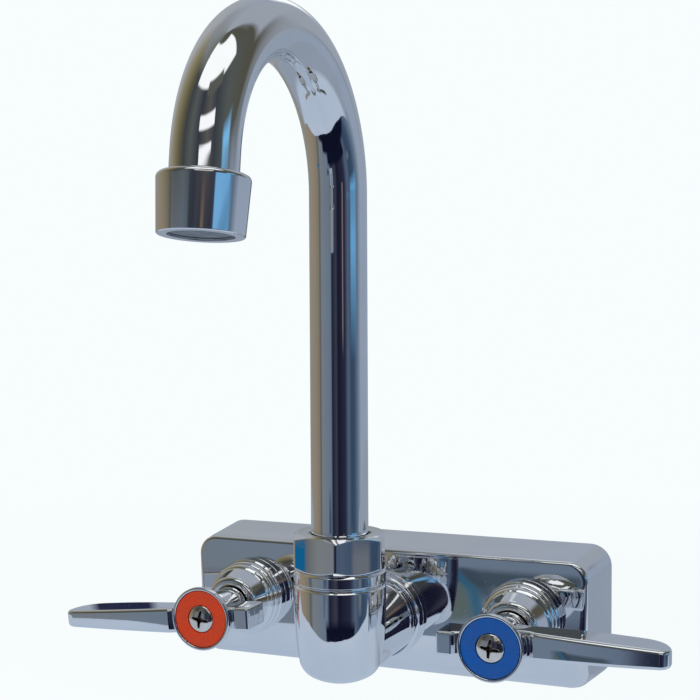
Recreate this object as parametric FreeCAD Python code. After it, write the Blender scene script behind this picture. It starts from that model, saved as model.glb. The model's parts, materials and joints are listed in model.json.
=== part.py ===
import FreeCAD
import Part
import math
import os

# Splash-mount mixing faucet with a swivelling gooseneck spout, in millimetres.
# X runs along the wall to the viewer's right, Y runs into the wall and Z runs up.
# The origin lies on the wall, midway between the two valve axes.
# A height or depth called "ahead" is measured from the wall towards the room.

# The wall side
inlet_spacing = 101.6
wall_thickness = 12.0
gasket_thickness = 1.5
gasket_inset = 1.2
shank_body_r = 10.67
shank_bore_r = 6.5
shank_relief_r = 9.7
shank_relief_length = 1.1
shank_thread_past_nut = 0.2
supply_thread_r = 10.45
shank_length_behind_wall = 46.0
shank_bevel = 1.2
shank_hole_clearance = 0.6
washer_outer_r = 17.0
washer_thickness = 2.2
locknut_across_flats = 31.8
locknut_thickness = 6.5

# The cast body
body_width = 150.0
body_height = 46.4
body_front_ahead = 29.4
body_centre_z = -1.3
body_draft = 1.6
body_corner_r = 7.4
body_edge_r = 1.8
body_wall = 3.6
passage_r = 4.5
passage_ahead = 19.0
passage_wall = 2.8
seat_ahead = 10.0
shank_seat_ahead = 8.0
seat_port_r = 4.2
valve_boss_wall = 2.2
valve_boss_length = 6.6
thread_clearance = 0.05

# The outlet elbow
spout_axis_ahead = 67.5
elbow_arm_z = -3.0
elbow_arm_r = 13.3
elbow_spigot_r = 8.0
elbow_spigot_depth = 5.0
elbow_seal_thickness = 1.0
elbow_bore_r = 5.6
collar_outer_r = 15.2
collar_length = 4.8
collar_edge_r = 1.2
cup_top_z = 21.2
cup_bottom_z = -16.0
cup_mouth_r = 15.0
cup_taper_top_z = 7.0
cup_foot_r = 13.35
cup_foot_z = -8.5
cup_floor_r = 9.6
cup_floor_rise = 2.3
cup_corner_out = 0.66
cup_corner_down = 0.48
cup_bead_height = 4.6
cup_groove_height = 1.0
cup_groove_depth = 0.7
elbow_neck_height = 6.3
elbow_neck_wall = 1.3
swivel_bore_depth = 25.5
sump_r = 8.8
sump_floor_z = -11.0

# The swivel joint of the spout
tube_outer_r = 9.3
tube_wall = 1.0
tube_fit = 0.02
ferrule_wall = 1.6
swivel_clearance = 0.07
ferrule_length = 22.0
ferrule_flange_r = 12.05
ferrule_flange_thickness = 2.0
ferrule_socket_depth = 8.5
o_ring_section_r = 0.65
o_ring_squeeze = 0.04
o_ring_heights = (5.5, 11.0)
thrust_washer_thickness = 1.1
nut_across_flats = 28.6
nut_roof = 2.4
nut_corner_angle = 17.0
nut_chamfer = 1.1
nut_hole_gap = 0.8

# The gooseneck
bend_start_z = 141.7
bend_r = 44.45
bend_angle = 172.5
outlet_leg = 5.3
tube_insertion = 6.0

# The aerator, measured down the outlet leg from its own top
aerator_length = 16.5
aerator_shoulder_r = 12.5
aerator_shoulder_length = 1.9
aerator_mouth_r = 11.4
aerator_collar_r = 9.9
aerator_thread_clearance = 0.05
aerator_insert_r = 9.6
aerator_lip_r = 8.9
aerator_lip_thickness = 0.8
aerator_washer_thickness = 1.2
screen_thickness = 0.5
insert_hole_r = 0.75
insert_hole_rings = ((4.0, 6), (7.0, 12))

# The quarter-turn cartridges, each round one valve axis
cartridge_r = 8.95
cartridge_chamber_r = 7.3
cartridge_chamber_length = 14.0
cartridge_flange_r = 10.2
cartridge_flange_thickness = 2.5
cartridge_nose_r = 5.6
cartridge_nose_length = 3.8
cartridge_port_r = 2.4
pocket_clearance = 0.05
seal_thickness = 3.5
seal_standoff = 1.2
disc_thickness = 3.5
disc_window_r = 2.3
disc_window_offset = 3.6
disc_clearance = 0.4
stem_r = 3.92
stem_foot_thickness = 2.6
stem_spline_r = 3.4
stem_end_ahead = 61.6
stem_groove_depth = 0.95
stem_seal_ahead = 33.0
clip_thickness = 0.8
clip_outer_r = 5.3
clip_gap = 4.0
running_clearance = 0.08

# The bonnets
bonnet_base_r = 13.5
bonnet_length = 17.2
bonnet_nose_root_r = 11.1
bonnet_nose_tip_r = 9.8
bonnet_mouth_r = 6.9
bonnet_cavity_r = 8.3
bonnet_lip = 1.2

# The lever handles
handle_face_ahead = 69.1
handle_rim_r = 10.75
handle_rim_width = 0.65
handle_rim_length = 1.7
handle_recess_depth = 1.2
handle_neck_r = 6.5
handle_neck_gap = 1.0
hub_flare_length = 9.5
lever_length = 54.9
lever_offset = 1.3
lever_front_setback = 0.4
lever_root_depth = 11.2
lever_belly_depth = 13.8
lever_root_height = 8.8
lever_tip_height = 5.6
lever_tip_back_r = 9.5
lever_tip_front_r = 3.5
lever_edge_r = 1.0
tail_length = 17.8
tail_depth = 12.4
tail_height = 7.6
tail_edge_r = 0.8
hot_lever_droop = 3.9
cold_lever_droop = 0.0
spline_fit = 0.05
index_ring_gap = 0.15
index_ring_thickness = 0.8
screw_head_r = 4.6
screw_head_height = 3.1
screw_head_side = 1.8
screw_seat_depth = 2.3
screw_shank_r = 1.95
screw_length = 15.0
screw_slot_width = 1.1
screw_slot_length = 5.2
screw_slot_depth = 1.5

# Places that follow from the sizes above
half_spacing = inlet_spacing / 2.0
pocket_r = cartridge_r + pocket_clearance
boss_r = pocket_r + valve_boss_wall
boss_end_ahead = body_front_ahead + valve_boss_length
flange_front_ahead = boss_end_ahead + cartridge_flange_thickness
nose_end_ahead = flange_front_ahead + cartridge_nose_length
neck_end_ahead = nose_end_ahead + handle_neck_gap
seal_front_ahead = seat_ahead + seal_thickness
fixed_disc_front_ahead = seal_front_ahead + disc_thickness
moving_disc_front_ahead = fixed_disc_front_ahead + disc_thickness
stem_foot_front_ahead = moving_disc_front_ahead + stem_foot_thickness
chamber_start_ahead = seat_ahead + seal_standoff
collar_front_ahead = body_front_ahead + collar_length
spigot_end_ahead = body_front_ahead - elbow_spigot_depth
seal_seat_ahead = spigot_end_ahead - elbow_seal_thickness
swivel_bore_r = tube_outer_r + tube_fit + ferrule_wall + swivel_clearance
neck_outer_r = swivel_bore_r + elbow_neck_wall
neck_top_z = cup_top_z + elbow_neck_height
swivel_floor_z = neck_top_z - swivel_bore_depth
ferrule_r = swivel_bore_r - swivel_clearance
ferrule_bottom_z = neck_top_z - ferrule_length
flange_top_z = neck_top_z + ferrule_flange_thickness
nut_ceiling_z = flange_top_z + thrust_washer_thickness
nut_top_z = nut_ceiling_z + nut_roof
tube_inner_r = tube_outer_r - tube_wall
locknut_back_ahead = -wall_thickness - washer_thickness - locknut_thickness
relief_start_ahead = locknut_back_ahead - shank_thread_past_nut
supply_thread_start_ahead = relief_start_ahead - shank_relief_length
tube_bottom_z = flange_top_z - ferrule_socket_depth
ring_outer_r = swivel_bore_r - o_ring_squeeze
tilt = bend_angle - 180.0


def at(x, ahead, z):
    """A point given by its place along the wall, its distance from the wall and its height."""
    return FreeCAD.Vector(x, -ahead, z)


def profile_face(steps, place):
    """A closed face. Each step is an end point (a, b), or a middle and an end point of an arc."""
    edges = []
    start = steps[0]
    for step in steps[1:] + [steps[0]]:
        end = step[-2:]
        if start[-2:] == end:
            continue
        first = place(*start[-2:])
        last = place(*end)
        if len(step) == 4:
            edges.append(Part.Arc(first, place(*step[:2]), last).toShape())
        else:
            edges.append(Part.makeLine(first, last))
        start = step
    return Part.Face(Part.Wire(edges))


def turned_ahead(steps, x=0.0, z=0.0):
    """A body of revolution about an axis square to the wall. Steps are (radius, ahead)."""
    face = profile_face(steps, lambda radius, ahead: at(x + radius, ahead, z))
    return face.revolve(at(x, 0.0, z), FreeCAD.Vector(0, -1, 0), 360)


def turned_up(steps, x=0.0, ahead=0.0):
    """A body of revolution about an upright axis. Steps are (radius, z)."""
    face = profile_face(steps, lambda radius, z: at(x + radius, ahead, z))
    return face.revolve(at(x, ahead, 0.0), FreeCAD.Vector(0, 0, 1), 360)


def rod_ahead(radius, start, end, x=0.0, z=0.0):
    """A round rod square to the wall, from one distance to another."""
    return Part.makeCylinder(radius, end - start, at(x, start, z), FreeCAD.Vector(0, -1, 0))


def rod_up(radius, low, high, x=0.0, ahead=0.0):
    """An upright round rod between two heights."""
    return Part.makeCylinder(radius, high - low, at(x, ahead, low), FreeCAD.Vector(0, 0, 1))


def ring_ahead(outer, inner, start, end, x=0.0, z=0.0):
    """A flat ring square to the wall."""
    return turned_ahead([(inner, start), (outer, start), (outer, end), (inner, end)], x, z)


def o_ring(section_r, centre_r, centre, direction):
    """A round sealing ring of circular section."""
    return Part.makeTorus(centre_r, section_r, centre, direction)


def rounded_outline(width, height, corner, ahead, centre_z):
    """A rectangle with round corners, parallel to the wall."""
    a = width / 2.0 - corner
    b = height / 2.0 - corner
    k = corner * math.sqrt(0.5)
    low = centre_z - b
    high = centre_z + b
    steps = [
        (-a, low - corner),
        (a, low - corner),
        (a + k, low - k, a + corner, low),
        (a + corner, high),
        (a + k, high + k, a, high + corner),
        (-a, high + corner),
        (-a - k, high + k, -a - corner, high),
        (-a - corner, low),
        (-a - k, low - k, -a, low - corner),
    ]
    return profile_face(steps, lambda x, z: at(x, ahead, z)).OuterWire


def drafted_block(width, height, corner, start, end, draft):
    """A rounded rectangular block that narrows evenly from the wall side to the front."""
    back = rounded_outline(width, height, corner, start, body_centre_z)
    front = rounded_outline(width - 2 * draft, height - 2 * draft, corner - draft / 2.0, end, body_centre_z)
    return Part.makeLoft([back, front], True, True)


def hexagon(across_flats, low, high, corner_angle):
    """An upright hexagonal block, with one corner turned from straight ahead towards +X."""
    corner_r = across_flats / math.sqrt(3.0)
    points = []
    for side in range(6):
        angle = math.radians(corner_angle + 60.0 * side)
        points.append(FreeCAD.Vector(corner_r * math.sin(angle), -corner_r * math.cos(angle), low))
    return Part.Face(Part.makePolygon(points + [points[0]])).extrude(FreeCAD.Vector(0, 0, high - low))


def save(name, shape):
    """Write one sub-part to its own file."""
    shape.exportStep("parts/" + name + ".step")


def valve_body():
    """The casting: a drafted shell, open at the back, with valve pockets and a cross passage."""
    shell = drafted_block(body_width, body_height, body_corner_r, gasket_thickness, body_front_ahead, body_draft)
    rim = [edge for edge in shell.Edges if abs(edge.BoundBox.YMax + body_front_ahead) < 0.01
           and abs(edge.BoundBox.YMin + body_front_ahead) < 0.01]
    shell = shell.makeFillet(body_edge_r, rim)
    cavity = drafted_block(body_width - 2 * body_wall, body_height - 2 * body_wall,
                           body_corner_r - body_wall / 2.0, 0.0,
                           body_front_ahead - body_wall, body_draft)
    shell = shell.cut(cavity)
    passage_outer_r = passage_r + passage_wall
    solid = Part.makeCylinder(passage_outer_r, inlet_spacing, at(-half_spacing, passage_ahead, 0),
                              FreeCAD.Vector(1, 0, 0))
    inner_front = body_front_ahead - body_wall / 2.0
    outlet_boss = rod_ahead(elbow_spigot_r + passage_wall, passage_ahead - passage_outer_r, inner_front,
                            z=elbow_arm_z)
    solid = solid.fuse(outlet_boss)
    for x in (-half_spacing, half_spacing):
        solid = solid.fuse(rod_ahead(pocket_r + passage_wall + 1.4, gasket_thickness, inner_front, x))
        solid = solid.fuse(rod_ahead(boss_r, body_front_ahead - body_wall, boss_end_ahead, x))
    shell = shell.fuse(solid)
    shell = shell.cut(Part.makeCylinder(passage_r, inlet_spacing, at(-half_spacing, passage_ahead, 0),
                                        FreeCAD.Vector(1, 0, 0)))
    shell = shell.cut(rod_ahead(elbow_bore_r, passage_ahead, seal_seat_ahead, z=elbow_arm_z))
    shell = shell.cut(rod_ahead(elbow_spigot_r + thread_clearance, seal_seat_ahead, body_front_ahead + 1.0,
                                z=elbow_arm_z))
    for x in (-half_spacing, half_spacing):
        shell = shell.cut(rod_ahead(pocket_r, seat_ahead, boss_end_ahead + 1.0, x))
        shell = shell.cut(rod_ahead(seat_port_r, 0.0, seat_ahead + 1.0, x))
        shell = shell.cut(rod_ahead(shank_body_r + thread_clearance, 0.0, shank_seat_ahead, x))
    return shell.removeSplitter()


def wall_gasket():
    """The flat foam sheet that seals the casting to the wall."""
    outline = rounded_outline(body_width - 2 * gasket_inset, body_height - 2 * gasket_inset,
                              body_corner_r - gasket_inset, 0.0, body_centre_z)
    sheet = Part.Face(outline).extrude(at(0, gasket_thickness, 0))
    for x in (-half_spacing, half_spacing):
        sheet = sheet.cut(rod_ahead(shank_body_r + shank_hole_clearance, -1.0, gasket_thickness + 1.0, x))
    return sheet


def inlet_shank(x):
    """A shank: a body screwed into the casting and through the locknut, then the supply thread."""
    back = -shank_length_behind_wall
    steps = [
        (shank_bore_r, shank_seat_ahead),
        (shank_body_r, shank_seat_ahead),
        (shank_body_r, relief_start_ahead),
        (shank_relief_r, relief_start_ahead),
        (shank_relief_r, supply_thread_start_ahead),
        (supply_thread_r, supply_thread_start_ahead),
        (supply_thread_r, back + shank_bevel),
        (supply_thread_r - shank_bevel, back),
        (shank_bore_r, back),
    ]
    return turned_ahead(steps, x)


def shank_washers():
    """One flat washer on each shank, against the back of the wall."""
    back = -wall_thickness
    rings = []
    for x in (-half_spacing, half_spacing):
        rings.append(ring_ahead(washer_outer_r, shank_body_r + thread_clearance,
                                back - washer_thickness, back, x))
    return Part.makeCompound(rings)


def shank_locknuts():
    """One hexagonal locknut on each shank, behind its washer."""
    back = locknut_back_ahead
    front = back + locknut_thickness
    chamfer = 1.3
    corner_r = locknut_across_flats / math.sqrt(3.0)
    flat_r = locknut_across_flats / 2.0
    nuts = []
    for x in (-half_spacing, half_spacing):
        block = hexagon(locknut_across_flats, 0.0, locknut_thickness, 30.0)
        block.rotate(FreeCAD.Vector(0, 0, 0), FreeCAD.Vector(1, 0, 0), 90)
        block.translate(at(x, back, 0.0))
        limit = turned_ahead([
            (0.0, back),
            (flat_r, back),
            (corner_r + 0.1, back + chamfer),
            (corner_r + 0.1, front),
            (0.0, front),
        ], x)
        block = block.common(limit)
        nuts.append(block.cut(rod_ahead(shank_body_r + thread_clearance, back - 1, front + 1, x)))
    return Part.makeCompound(nuts)


def elbow_collar():
    """The round collar that backs the elbow against the casting."""
    round_start = collar_outer_r - collar_edge_r
    k = collar_edge_r * (1.0 - math.sqrt(0.5))
    steps = [
        (elbow_spigot_r + thread_clearance, body_front_ahead),
        (collar_outer_r, body_front_ahead),
        (collar_outer_r, collar_front_ahead - collar_edge_r),
        (collar_outer_r - k, collar_front_ahead - k, round_start, collar_front_ahead),
        (elbow_spigot_r + thread_clearance, collar_front_ahead),
    ]
    return turned_ahead(steps, 0.0, elbow_arm_z)


def elbow_seal():
    """The sealing washer between the elbow's spigot and the casting."""
    return ring_ahead(elbow_spigot_r, elbow_bore_r, seal_seat_ahead, spigot_end_ahead, 0.0, elbow_arm_z)


def spout_elbow():
    """The elbow: a round arm from the casting into a tapered cup that holds the spout."""
    bead_low = cup_top_z - cup_bead_height
    groove_low = bead_low - cup_groove_height
    groove_r = cup_mouth_r - cup_groove_depth
    floor_z = cup_bottom_z + cup_floor_rise
    lip = 0.7
    cup = turned_up([
        (0.0, cup_bottom_z),
        (cup_floor_r * 0.51, cup_bottom_z + cup_floor_rise * 0.25, cup_floor_r, floor_z),
        (0.5 * (cup_floor_r + cup_foot_r) + cup_corner_out, 0.5 * (floor_z + cup_foot_z) - cup_corner_down,
         cup_foot_r, cup_foot_z),
        (cup_mouth_r, cup_taper_top_z),
        (cup_mouth_r, groove_low),
        (groove_r, groove_low + lip),
        (groove_r, bead_low),
        (cup_mouth_r, bead_low + lip),
        (cup_mouth_r, cup_top_z - lip),
        (cup_mouth_r - lip, cup_top_z),
        (neck_outer_r, cup_top_z),
        (neck_outer_r, neck_top_z),
        (0.0, neck_top_z),
    ], 0.0, spout_axis_ahead)
    arm = rod_ahead(elbow_arm_r, collar_front_ahead, spout_axis_ahead, z=elbow_arm_z)
    spigot = rod_ahead(elbow_spigot_r, spigot_end_ahead, collar_front_ahead, z=elbow_arm_z)
    solid = cup.fuse(arm).fuse(spigot)
    solid = solid.cut(rod_up(swivel_bore_r, swivel_floor_z, neck_top_z + 1.0, 0.0, spout_axis_ahead))
    solid = solid.cut(rod_up(sump_r, sump_floor_z, swivel_floor_z, 0.0, spout_axis_ahead))
    solid = solid.cut(rod_ahead(elbow_bore_r, spigot_end_ahead - 1.0, spout_axis_ahead, z=elbow_arm_z))
    return solid.removeSplitter()


def spout_nut():
    """The hexagonal gland nut that keeps the spout in the cup and lets it turn."""
    corner_r = nut_across_flats / math.sqrt(3.0)
    flat_r = nut_across_flats / 2.0
    slope = nut_chamfer
    block = hexagon(nut_across_flats, cup_top_z, nut_top_z, nut_corner_angle)
    block.translate(at(0, spout_axis_ahead, 0))
    limit = turned_up([
        (0.0, cup_top_z),
        (flat_r, cup_top_z),
        (corner_r + 0.1, cup_top_z + slope),
        (corner_r + 0.1, nut_top_z - slope),
        (flat_r, nut_top_z),
        (0.0, nut_top_z),
    ], 0.0, spout_axis_ahead)
    block = block.common(limit)
    block = block.cut(rod_up(neck_outer_r + thread_clearance, cup_top_z - 1.0, nut_ceiling_z,
                             0.0, spout_axis_ahead))
    hole_r = tube_outer_r + nut_hole_gap
    return block.cut(rod_up(hole_r, nut_ceiling_z - 1.0, nut_top_z + 1.0, 0.0, spout_axis_ahead))


def thrust_washer():
    """The plastic washer on which the spout's flange turns under the nut."""
    inner = tube_outer_r + tube_fit
    steps = [
        (inner, flange_top_z),
        (ferrule_flange_r, flange_top_z),
        (ferrule_flange_r, nut_ceiling_z),
        (inner, nut_ceiling_z),
    ]
    return turned_up(steps, 0.0, spout_axis_ahead)


def spout_ferrule():
    """The brass sleeve on the foot of the tube, with two seal grooves and a flange."""
    inner = tube_outer_r + tube_fit
    groove_r = ring_outer_r - 2 * o_ring_section_r - tube_fit
    half_groove = o_ring_section_r + 0.1
    steps = [(tube_inner_r, ferrule_bottom_z), (ferrule_r, ferrule_bottom_z)]
    for height in o_ring_heights:
        centre = ferrule_bottom_z + height
        steps.append((ferrule_r, centre - half_groove))
        steps.append((groove_r, centre - half_groove))
        steps.append((groove_r, centre + half_groove))
        steps.append((ferrule_r, centre + half_groove))
    steps.append((ferrule_r, neck_top_z))
    steps.append((ferrule_flange_r, neck_top_z))
    steps.append((ferrule_flange_r, flange_top_z))
    steps.append((inner, flange_top_z))
    steps.append((inner, tube_bottom_z))
    steps.append((tube_inner_r, tube_bottom_z))
    return turned_up(steps, 0.0, spout_axis_ahead)


def spout_o_rings():
    """The two rubber rings that seal the ferrule in the cup."""
    centre_r = ring_outer_r - o_ring_section_r
    rings = []
    for height in o_ring_heights:
        centre = at(0, spout_axis_ahead, ferrule_bottom_z + height)
        rings.append(o_ring(o_ring_section_r, centre_r, centre, FreeCAD.Vector(0, 0, 1)))
    return Part.makeCompound(rings)


def bend_centre():
    """The centre of the gooseneck's arc."""
    return at(0, spout_axis_ahead + bend_r, bend_start_z)


def outlet_direction():
    """The direction of the water at the end of the bend."""
    turn = math.radians(bend_angle)
    return FreeCAD.Vector(0, -math.sin(turn), math.cos(turn))


def outlet_top():
    """The point on the outlet leg where the aerator begins."""
    turn = math.radians(bend_angle)
    reach = spout_axis_ahead + bend_r * (1.0 - math.cos(turn))
    end = at(0, reach, bend_start_z + bend_r * math.sin(turn))
    return end + outlet_direction() * outlet_leg


def tube_run(radius, low):
    """One solid rod along the gooseneck: up the riser, round the bend and down the outlet leg."""
    riser = rod_up(radius, low, bend_start_z, 0.0, spout_axis_ahead)
    circle = Part.Circle(at(0, spout_axis_ahead, bend_start_z), FreeCAD.Vector(0, 0, 1), radius)
    section = Part.Face(Part.Wire(circle.toShape()))
    bend = section.revolve(bend_centre(), FreeCAD.Vector(1, 0, 0), bend_angle)
    direction = outlet_direction()
    length = outlet_leg + tube_insertion
    leg = Part.makeCylinder(radius, length, outlet_top() - direction * outlet_leg, direction)
    return riser.fuse(bend).fuse(leg).removeSplitter()


def gooseneck_tube():
    """The bent spout tube, open at both ends."""
    outer = tube_run(tube_outer_r, tube_bottom_z)
    inner = tube_run(tube_inner_r, tube_bottom_z)
    return outer.cut(inner)


def set_on_outlet(shape):
    """Move a piece made about an upright axis, hanging below the origin, onto the outlet leg."""
    shape.rotate(FreeCAD.Vector(0, 0, 0), FreeCAD.Vector(1, 0, 0), tilt)
    shape.translate(outlet_top())
    return shape


def aerator_housing():
    """The turned shell of the aerator: a round shoulder, tapered sides and an inward lip."""
    lip_start = aerator_length - aerator_lip_thickness
    thread_r = tube_outer_r + aerator_thread_clearance
    insert_bore = aerator_insert_r + aerator_thread_clearance
    steps = [
        (thread_r, 0.0),
        (aerator_collar_r, 0.0),
        (aerator_shoulder_r - 1.3, -0.35),
        (aerator_shoulder_r - 0.35, -0.85, aerator_shoulder_r, -aerator_shoulder_length),
        (aerator_mouth_r + 0.3, 0.3 - aerator_length),
        (aerator_mouth_r, -aerator_length),
        (aerator_lip_r, -aerator_length),
        (aerator_lip_r, -lip_start),
        (insert_bore, -lip_start),
        (insert_bore, -tube_insertion),
        (thread_r, -tube_insertion),
    ]
    return set_on_outlet(turned_up(steps))


def aerator_washer():
    """The rubber washer between the tube's end and the insert."""
    top = -tube_insertion
    bottom = top - aerator_washer_thickness
    steps = [
        (tube_inner_r - 1.2, top),
        (aerator_insert_r, top),
        (aerator_insert_r, bottom),
        (tube_inner_r - 1.2, bottom),
    ]
    return set_on_outlet(turned_up(steps))


def aerator_insert():
    """The plastic flow insert: a cup with a drilled floor that mixes air into the water."""
    top = -tube_insertion - aerator_washer_thickness
    bottom = -aerator_length + aerator_lip_thickness + screen_thickness
    wall = 1.2
    floor = 2.0
    steps = [
        (0.0, top - floor),
        (aerator_insert_r - wall, top - floor),
        (aerator_insert_r - wall, top),
        (aerator_insert_r, top),
        (aerator_insert_r, bottom),
        (aerator_insert_r - wall, bottom),
        (aerator_insert_r - wall, top - 2 * floor),
        (0.0, top - 2 * floor),
    ]
    cup = turned_up(steps)
    for ring_r, count in insert_hole_rings:
        for step in range(count):
            angle = 2.0 * math.pi * step / count
            hole = Part.makeCylinder(insert_hole_r, 4 * floor,
                                     FreeCAD.Vector(ring_r * math.cos(angle), ring_r * math.sin(angle),
                                                    top - 3 * floor))
            cup = cup.cut(hole)
    return set_on_outlet(cup)


def aerator_screen():
    """The round screen held by the housing's lip."""
    bottom = -aerator_length + aerator_lip_thickness
    disc = Part.makeCylinder(aerator_insert_r, screen_thickness, FreeCAD.Vector(0, 0, bottom))
    return set_on_outlet(disc)


def cartridge_shell(x):
    """The brass cartridge: a barrel with a flange, a nose and side ports."""
    nose_bevel = 0.5
    steps = [
        (cartridge_chamber_r, chamber_start_ahead),
        (cartridge_r, chamber_start_ahead),
        (cartridge_r, boss_end_ahead),
        (cartridge_flange_r, boss_end_ahead),
        (cartridge_flange_r, flange_front_ahead),
        (cartridge_nose_r, flange_front_ahead),
        (cartridge_nose_r, nose_end_ahead - nose_bevel),
        (cartridge_nose_r - nose_bevel, nose_end_ahead),
        (stem_r + running_clearance, nose_end_ahead),
        (stem_r + running_clearance, chamber_start_ahead + cartridge_chamber_length),
        (cartridge_chamber_r, chamber_start_ahead + cartridge_chamber_length),
    ]
    shell = turned_ahead(steps, x)
    ports = Part.makeCylinder(cartridge_port_r, 4 * cartridge_r, at(x - 2 * cartridge_r, passage_ahead, 0),
                              FreeCAD.Vector(1, 0, 0))
    return shell.cut(ports)


def seat_seal(x):
    """The rubber seal between the seat in the casting and the fixed disc."""
    return ring_ahead(cartridge_chamber_r - 0.1, seat_port_r, seat_ahead, seal_front_ahead, x)


def ceramic_disc(x, start, end, radius):
    """A polished ceramic disc with two round windows."""
    disc = rod_ahead(radius, start, end, x)
    for side in (-1, 1):
        window = rod_ahead(disc_window_r, start - 1, end + 1, x, side * disc_window_offset)
        disc = disc.cut(window)
    return disc


def fixed_disc(x):
    """The disc that stands still in the cartridge."""
    return ceramic_disc(x, seal_front_ahead, fixed_disc_front_ahead, cartridge_chamber_r - 0.1)


def moving_disc(x):
    """The disc that turns with the stem, shown closed: its windows lie across the fixed ones."""
    disc = ceramic_disc(x, fixed_disc_front_ahead, moving_disc_front_ahead,
                        cartridge_chamber_r - disc_clearance)
    disc.rotate(at(x, 0, 0), FreeCAD.Vector(0, 1, 0), 90)
    return disc


def valve_stem(x):
    """The stem: a foot on the moving disc, a sealed shaft and a splined end for the handle."""
    groove_half = stem_groove_depth / 2.0 + 0.12
    clip_start = nose_end_ahead + 0.02
    clip_end = clip_start + clip_thickness
    clip_groove_r = stem_r - 0.6
    spline_start = clip_end + 0.6
    steps = [
        (0.0, moving_disc_front_ahead),
        (cartridge_chamber_r - disc_clearance, moving_disc_front_ahead),
        (cartridge_chamber_r - disc_clearance, stem_foot_front_ahead),
        (stem_r, stem_foot_front_ahead),
        (stem_r, stem_seal_ahead - groove_half),
        (stem_r - stem_groove_depth, stem_seal_ahead - groove_half),
        (stem_r - stem_groove_depth, stem_seal_ahead + groove_half),
        (stem_r, stem_seal_ahead + groove_half),
        (stem_r, clip_start),
        (clip_groove_r, clip_start),
        (clip_groove_r, clip_end),
        (stem_spline_r, clip_end),
        (stem_spline_r, stem_end_ahead - 0.5),
        (stem_spline_r - 0.5, stem_end_ahead),
        (screw_shank_r + 0.05, stem_end_ahead),
        (screw_shank_r + 0.05, spline_start + 5.0),
        (0.0, spline_start + 5.0),
    ]
    return turned_ahead(steps, x)


def stem_o_ring(x):
    """The rubber ring that seals the stem in its cartridge."""
    section_r = stem_groove_depth / 2.0
    centre_r = stem_r - section_r + tube_fit
    return o_ring(section_r, centre_r, at(x, stem_seal_ahead, 0), FreeCAD.Vector(0, 1, 0))


def stem_clip(x):
    """The open spring clip that keeps the stem in the cartridge."""
    start = nose_end_ahead + 0.02
    inner = stem_r - 0.58
    clip = ring_ahead(clip_outer_r, inner, start, start + clip_thickness, x)
    slot = Part.makeBox(clip_gap, 4 * clip_thickness, 2 * clip_outer_r,
                        at(x - clip_gap / 2.0, start + 2 * clip_thickness, 0.0))
    return clip.cut(slot)


def bonnet(x):
    """The chromed cap that clamps the cartridge: three turned rings below a tapered nose."""
    end = body_front_ahead + bonnet_length
    base = body_front_ahead
    inner = boss_r + thread_clearance
    ring_r = bonnet_base_r
    steps = [
        (inner, base),
        (ring_r, base),
        (ring_r, base + 3.3),
        (ring_r - 0.75, base + 4.1),
        (ring_r - 0.2, base + 5.3, ring_r - 0.9, base + 6.7),
        (ring_r - 1.2, base + 7.0),
        (ring_r - 0.75, base + 8.4, ring_r - 1.6, base + 10.0),
        (ring_r - 1.9, base + 10.5),
        (bonnet_nose_root_r, base + 11.1),
        (bonnet_nose_tip_r, end - 1.1),
        (bonnet_nose_tip_r - 0.25, end - 0.3, bonnet_nose_tip_r - 1.0, end),
        (bonnet_mouth_r + 0.4, end),
        (bonnet_mouth_r, end - 0.4),
        (bonnet_mouth_r, end - bonnet_lip),
        (bonnet_cavity_r, end - bonnet_lip - 0.9),
        (bonnet_cavity_r, flange_front_ahead),
        (inner, flange_front_ahead),
    ]
    return turned_ahead(steps, x)


def lever_plan_step_list():
    """The lever's outline seen from above, as (distance from the axis, ahead) steps."""
    front = handle_face_ahead - lever_front_setback
    back = front - lever_belly_depth
    tip = lever_length
    back_r = lever_tip_back_r
    front_r = lever_tip_front_r
    k = 1.0 - math.sqrt(0.5)
    return [
        (0.0, front - lever_root_depth),
        (handle_rim_r, front - lever_root_depth),
        (tip * 0.42, back + 0.45, tip - back_r, back),
        (tip - back_r * k, back + back_r * k, tip, back + back_r),
        (tip, front - front_r),
        (tip - front_r * k, front - front_r * k, tip - front_r, front),
        (0.0, front),
    ]


def lever_blade():
    """The lever, pointing along +X: its plan outline meets a tapered side view, off the axis."""
    front = handle_face_ahead
    plan = profile_face(lever_plan_step_list(), lambda a, ahead: at(a, ahead, -lever_root_height))
    plan = plan.extrude(FreeCAD.Vector(0, 0, 2 * lever_root_height))
    root = lever_root_height / 2.0
    tip = lever_tip_height / 2.0
    side_steps = [(0.0, -root), (handle_rim_r, -root), (lever_length + 1, -tip),
                  (lever_length + 1, tip), (handle_rim_r, root), (0.0, root)]
    side = profile_face(side_steps, lambda a, z: at(a, front + 1.0, z + lever_offset))
    side = side.extrude(FreeCAD.Vector(0, 2 * lever_belly_depth, 0))
    blade = plan.common(side)
    soft = [edge for edge in blade.Edges if edge.BoundBox.XMax > handle_rim_r + 1.0
            and edge.BoundBox.ZLength < lever_root_height / 2.0]
    return blade.makeFillet(lever_edge_r, soft)


def handle_tail():
    """The short square tail opposite the lever."""
    front = handle_face_ahead - lever_front_setback
    block = Part.makeBox(tail_length, tail_depth, tail_height,
                         at(-tail_length, front, -tail_height / 2.0))
    soft = [edge for edge in block.Edges if edge.BoundBox.XMin < -1.0]
    return block.makeFillet(tail_edge_r, soft)


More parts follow.
